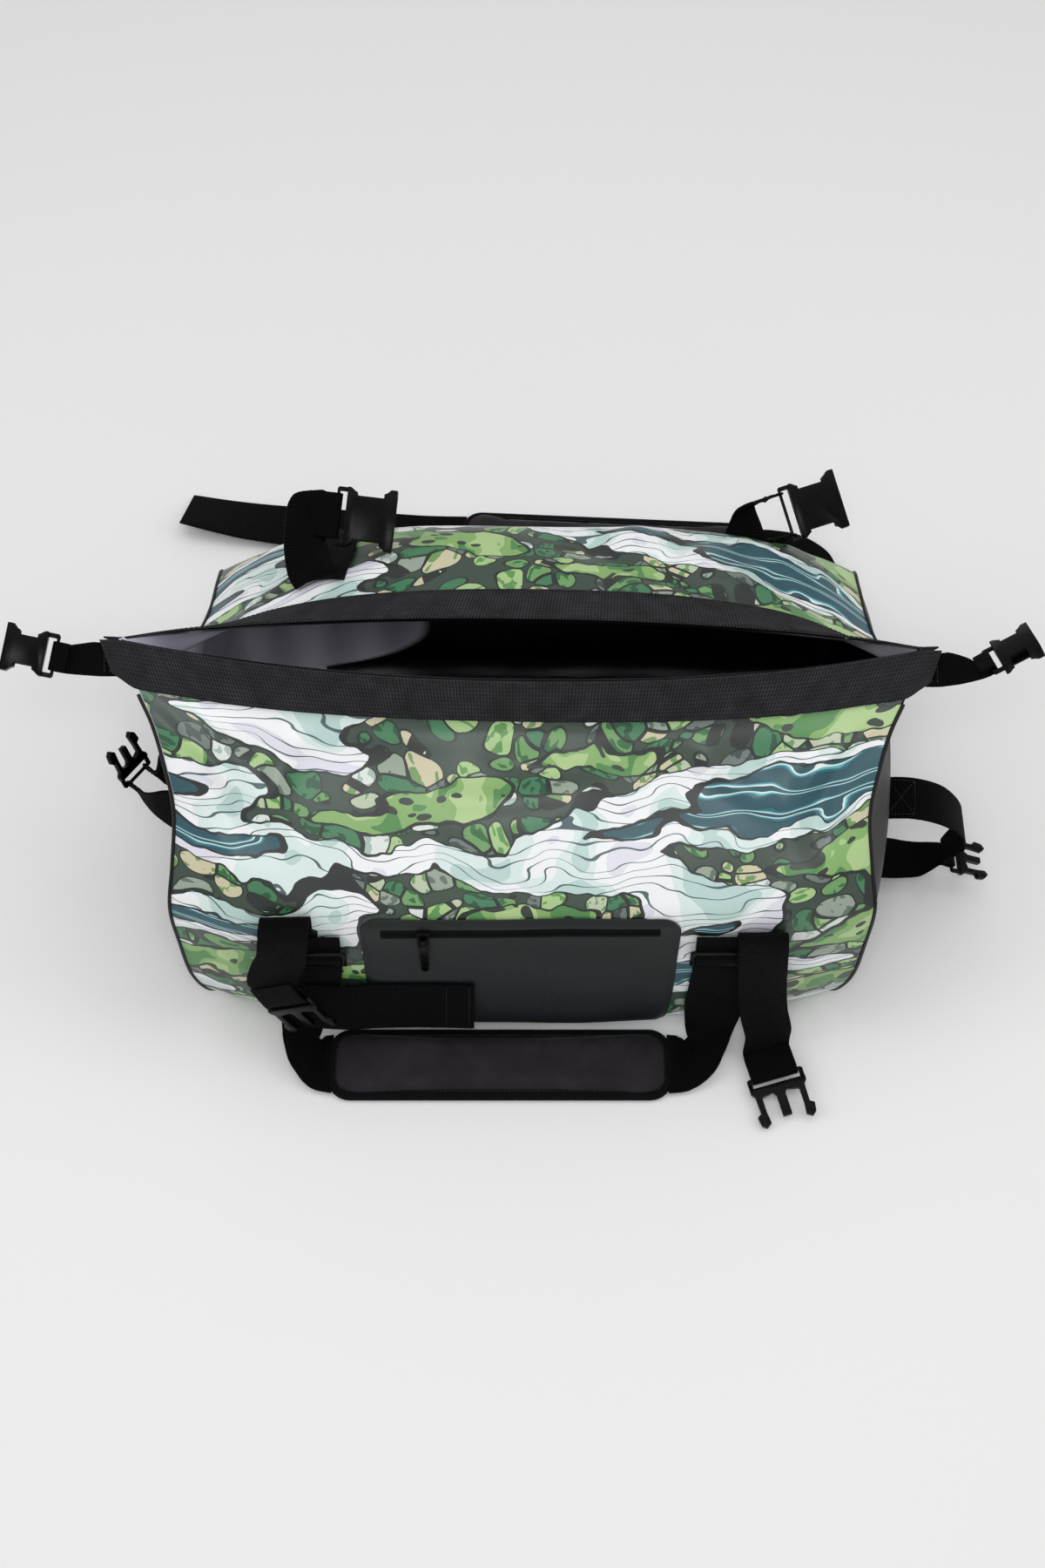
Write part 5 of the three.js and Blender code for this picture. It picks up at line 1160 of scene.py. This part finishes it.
plastic, tree = new_material("black moulded acetal")
place = add_node(tree, "ShaderNodeTexCoord").outputs["Object"]
spark = add_node(tree, NOISE, None, {"Vector": place, "Scale": 1400.0, "Detail": 2.0})
spark_bump = add_node(tree, BUMP, None, {"Height": spark, "Strength": 0.15, "Distance": 0.0001})
rub = add_node(tree, NOISE, None, {"Vector": place, "Scale": 90.0, "Detail": 4.0})
plastic_tone = add_node(tree, MIX, COLOURS, {0: rub, 6: linear("#040404"), 7: linear("#0d0d0e")})
plastic_rough = add_node(tree, RANGE, None, {"Value": rub, "To Min": 0.2, "To Max": 0.34})
acetal = add_node(tree, SHADER, None,
                  {"Base Color": plastic_tone.outputs[2], "Roughness": plastic_rough, "IOR": 1.48,
                   "Normal": spark_bump})
acetal.inputs["Specular IOR Level"].default_value = 0.1
finish_material(tree, acetal)

pad_cloth, tree = new_material("brushed stretch nylon over foam")
place = add_node(tree, "ShaderNodeTexCoord").outputs["Object"]
nap = add_node(tree, NOISE, None, {"Vector": place, "Scale": 700.0, "Detail": 3.0})
patchy = add_node(tree, NOISE, None, {"Vector": place, "Scale": 38.0, "Detail": 5.0})
pad_bump = add_node(tree, BUMP, None, {"Height": nap, "Strength": 0.5, "Distance": 0.0004})
pad_tone = add_node(tree, MIX, COLOURS, {0: patchy, 6: linear("#161417"), 7: linear("#363138")})
brushed = add_node(tree, SHADER, None,
                   {"Base Color": pad_tone.outputs[2], "Roughness": 0.85, "Normal": pad_bump})
brushed.inputs["Specular IOR Level"].default_value = 0.15
brushed.inputs["Sheen Weight"].default_value = 0.08
brushed.inputs["Sheen Roughness"].default_value = 0.35
finish_material(tree, brushed)


# %% Which piece has which finish
def dress(piece, slot_name, *finishes):
    piece.data.materials.clear()
    for finish in finishes:
        piece.data.materials.append(finish)


for side in ("front", "back"):
    dress(panels[side], "printed_cloth", printed, lining, inner_coat)
for side in ("left", "right", "base"):
    dress(panels[side], "black_cloth", black_cloth, inner_coat if side == "right" else lining)
for piece in beads:
    dress(piece, "black_cloth", black_cloth)
for node, piece in straps.items():
    dress(piece, "webbing", rim_tape if node.startswith("rim_band") else webbing)
for piece in hard.values():
    dress(piece, "moulded_plastic", plastic)
nodes["zip_slider"].data.materials.clear()
nodes["zip_slider"].data.materials.append(plastic)
dress(pocket, "black_cloth", pocket_cloth)
dress(zip_piece, "black_cloth", zip_tape)
for piece in pads.values():
    dress(piece, "pad_cloth", pad_cloth)
for piece in bindings.values():
    dress(piece, "webbing", zip_tape)
for piece, count in threads:
    dress(piece, "webbing", thread_finish)

# %% [markdown]
# ## Finish of the panels
# The panels get their thickness here, inwards, with the coating's material on the inner side. The cloth
# folded inside the rim band and the lip's own edge turn plain black, and each panel takes its CAD piece's
# place.

# %% Finish
lip_fold, lip_edge = 0.034, 0.0012
for name, piece in panels.items():
    thicken(piece, cloth, inner_slot=1)
    if len(piece.data.materials) == 3:
        # the cloth that is folded inside the rim band, and the lip's own edge, are plain black
        for face in piece.data.polygons:
            down = np.mean([piece.data.uv_layers[0].data[loop].uv[1] for loop in face.loop_indices])
            if down < (lip_fold if face.material_index == 0 else lip_edge):
                face.material_index = 2
    smooth(piece, 50)
    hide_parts(f"{name}_panel" if name in ("front", "back", "base") else f"end_panel_{name}")
    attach(piece, "bag")
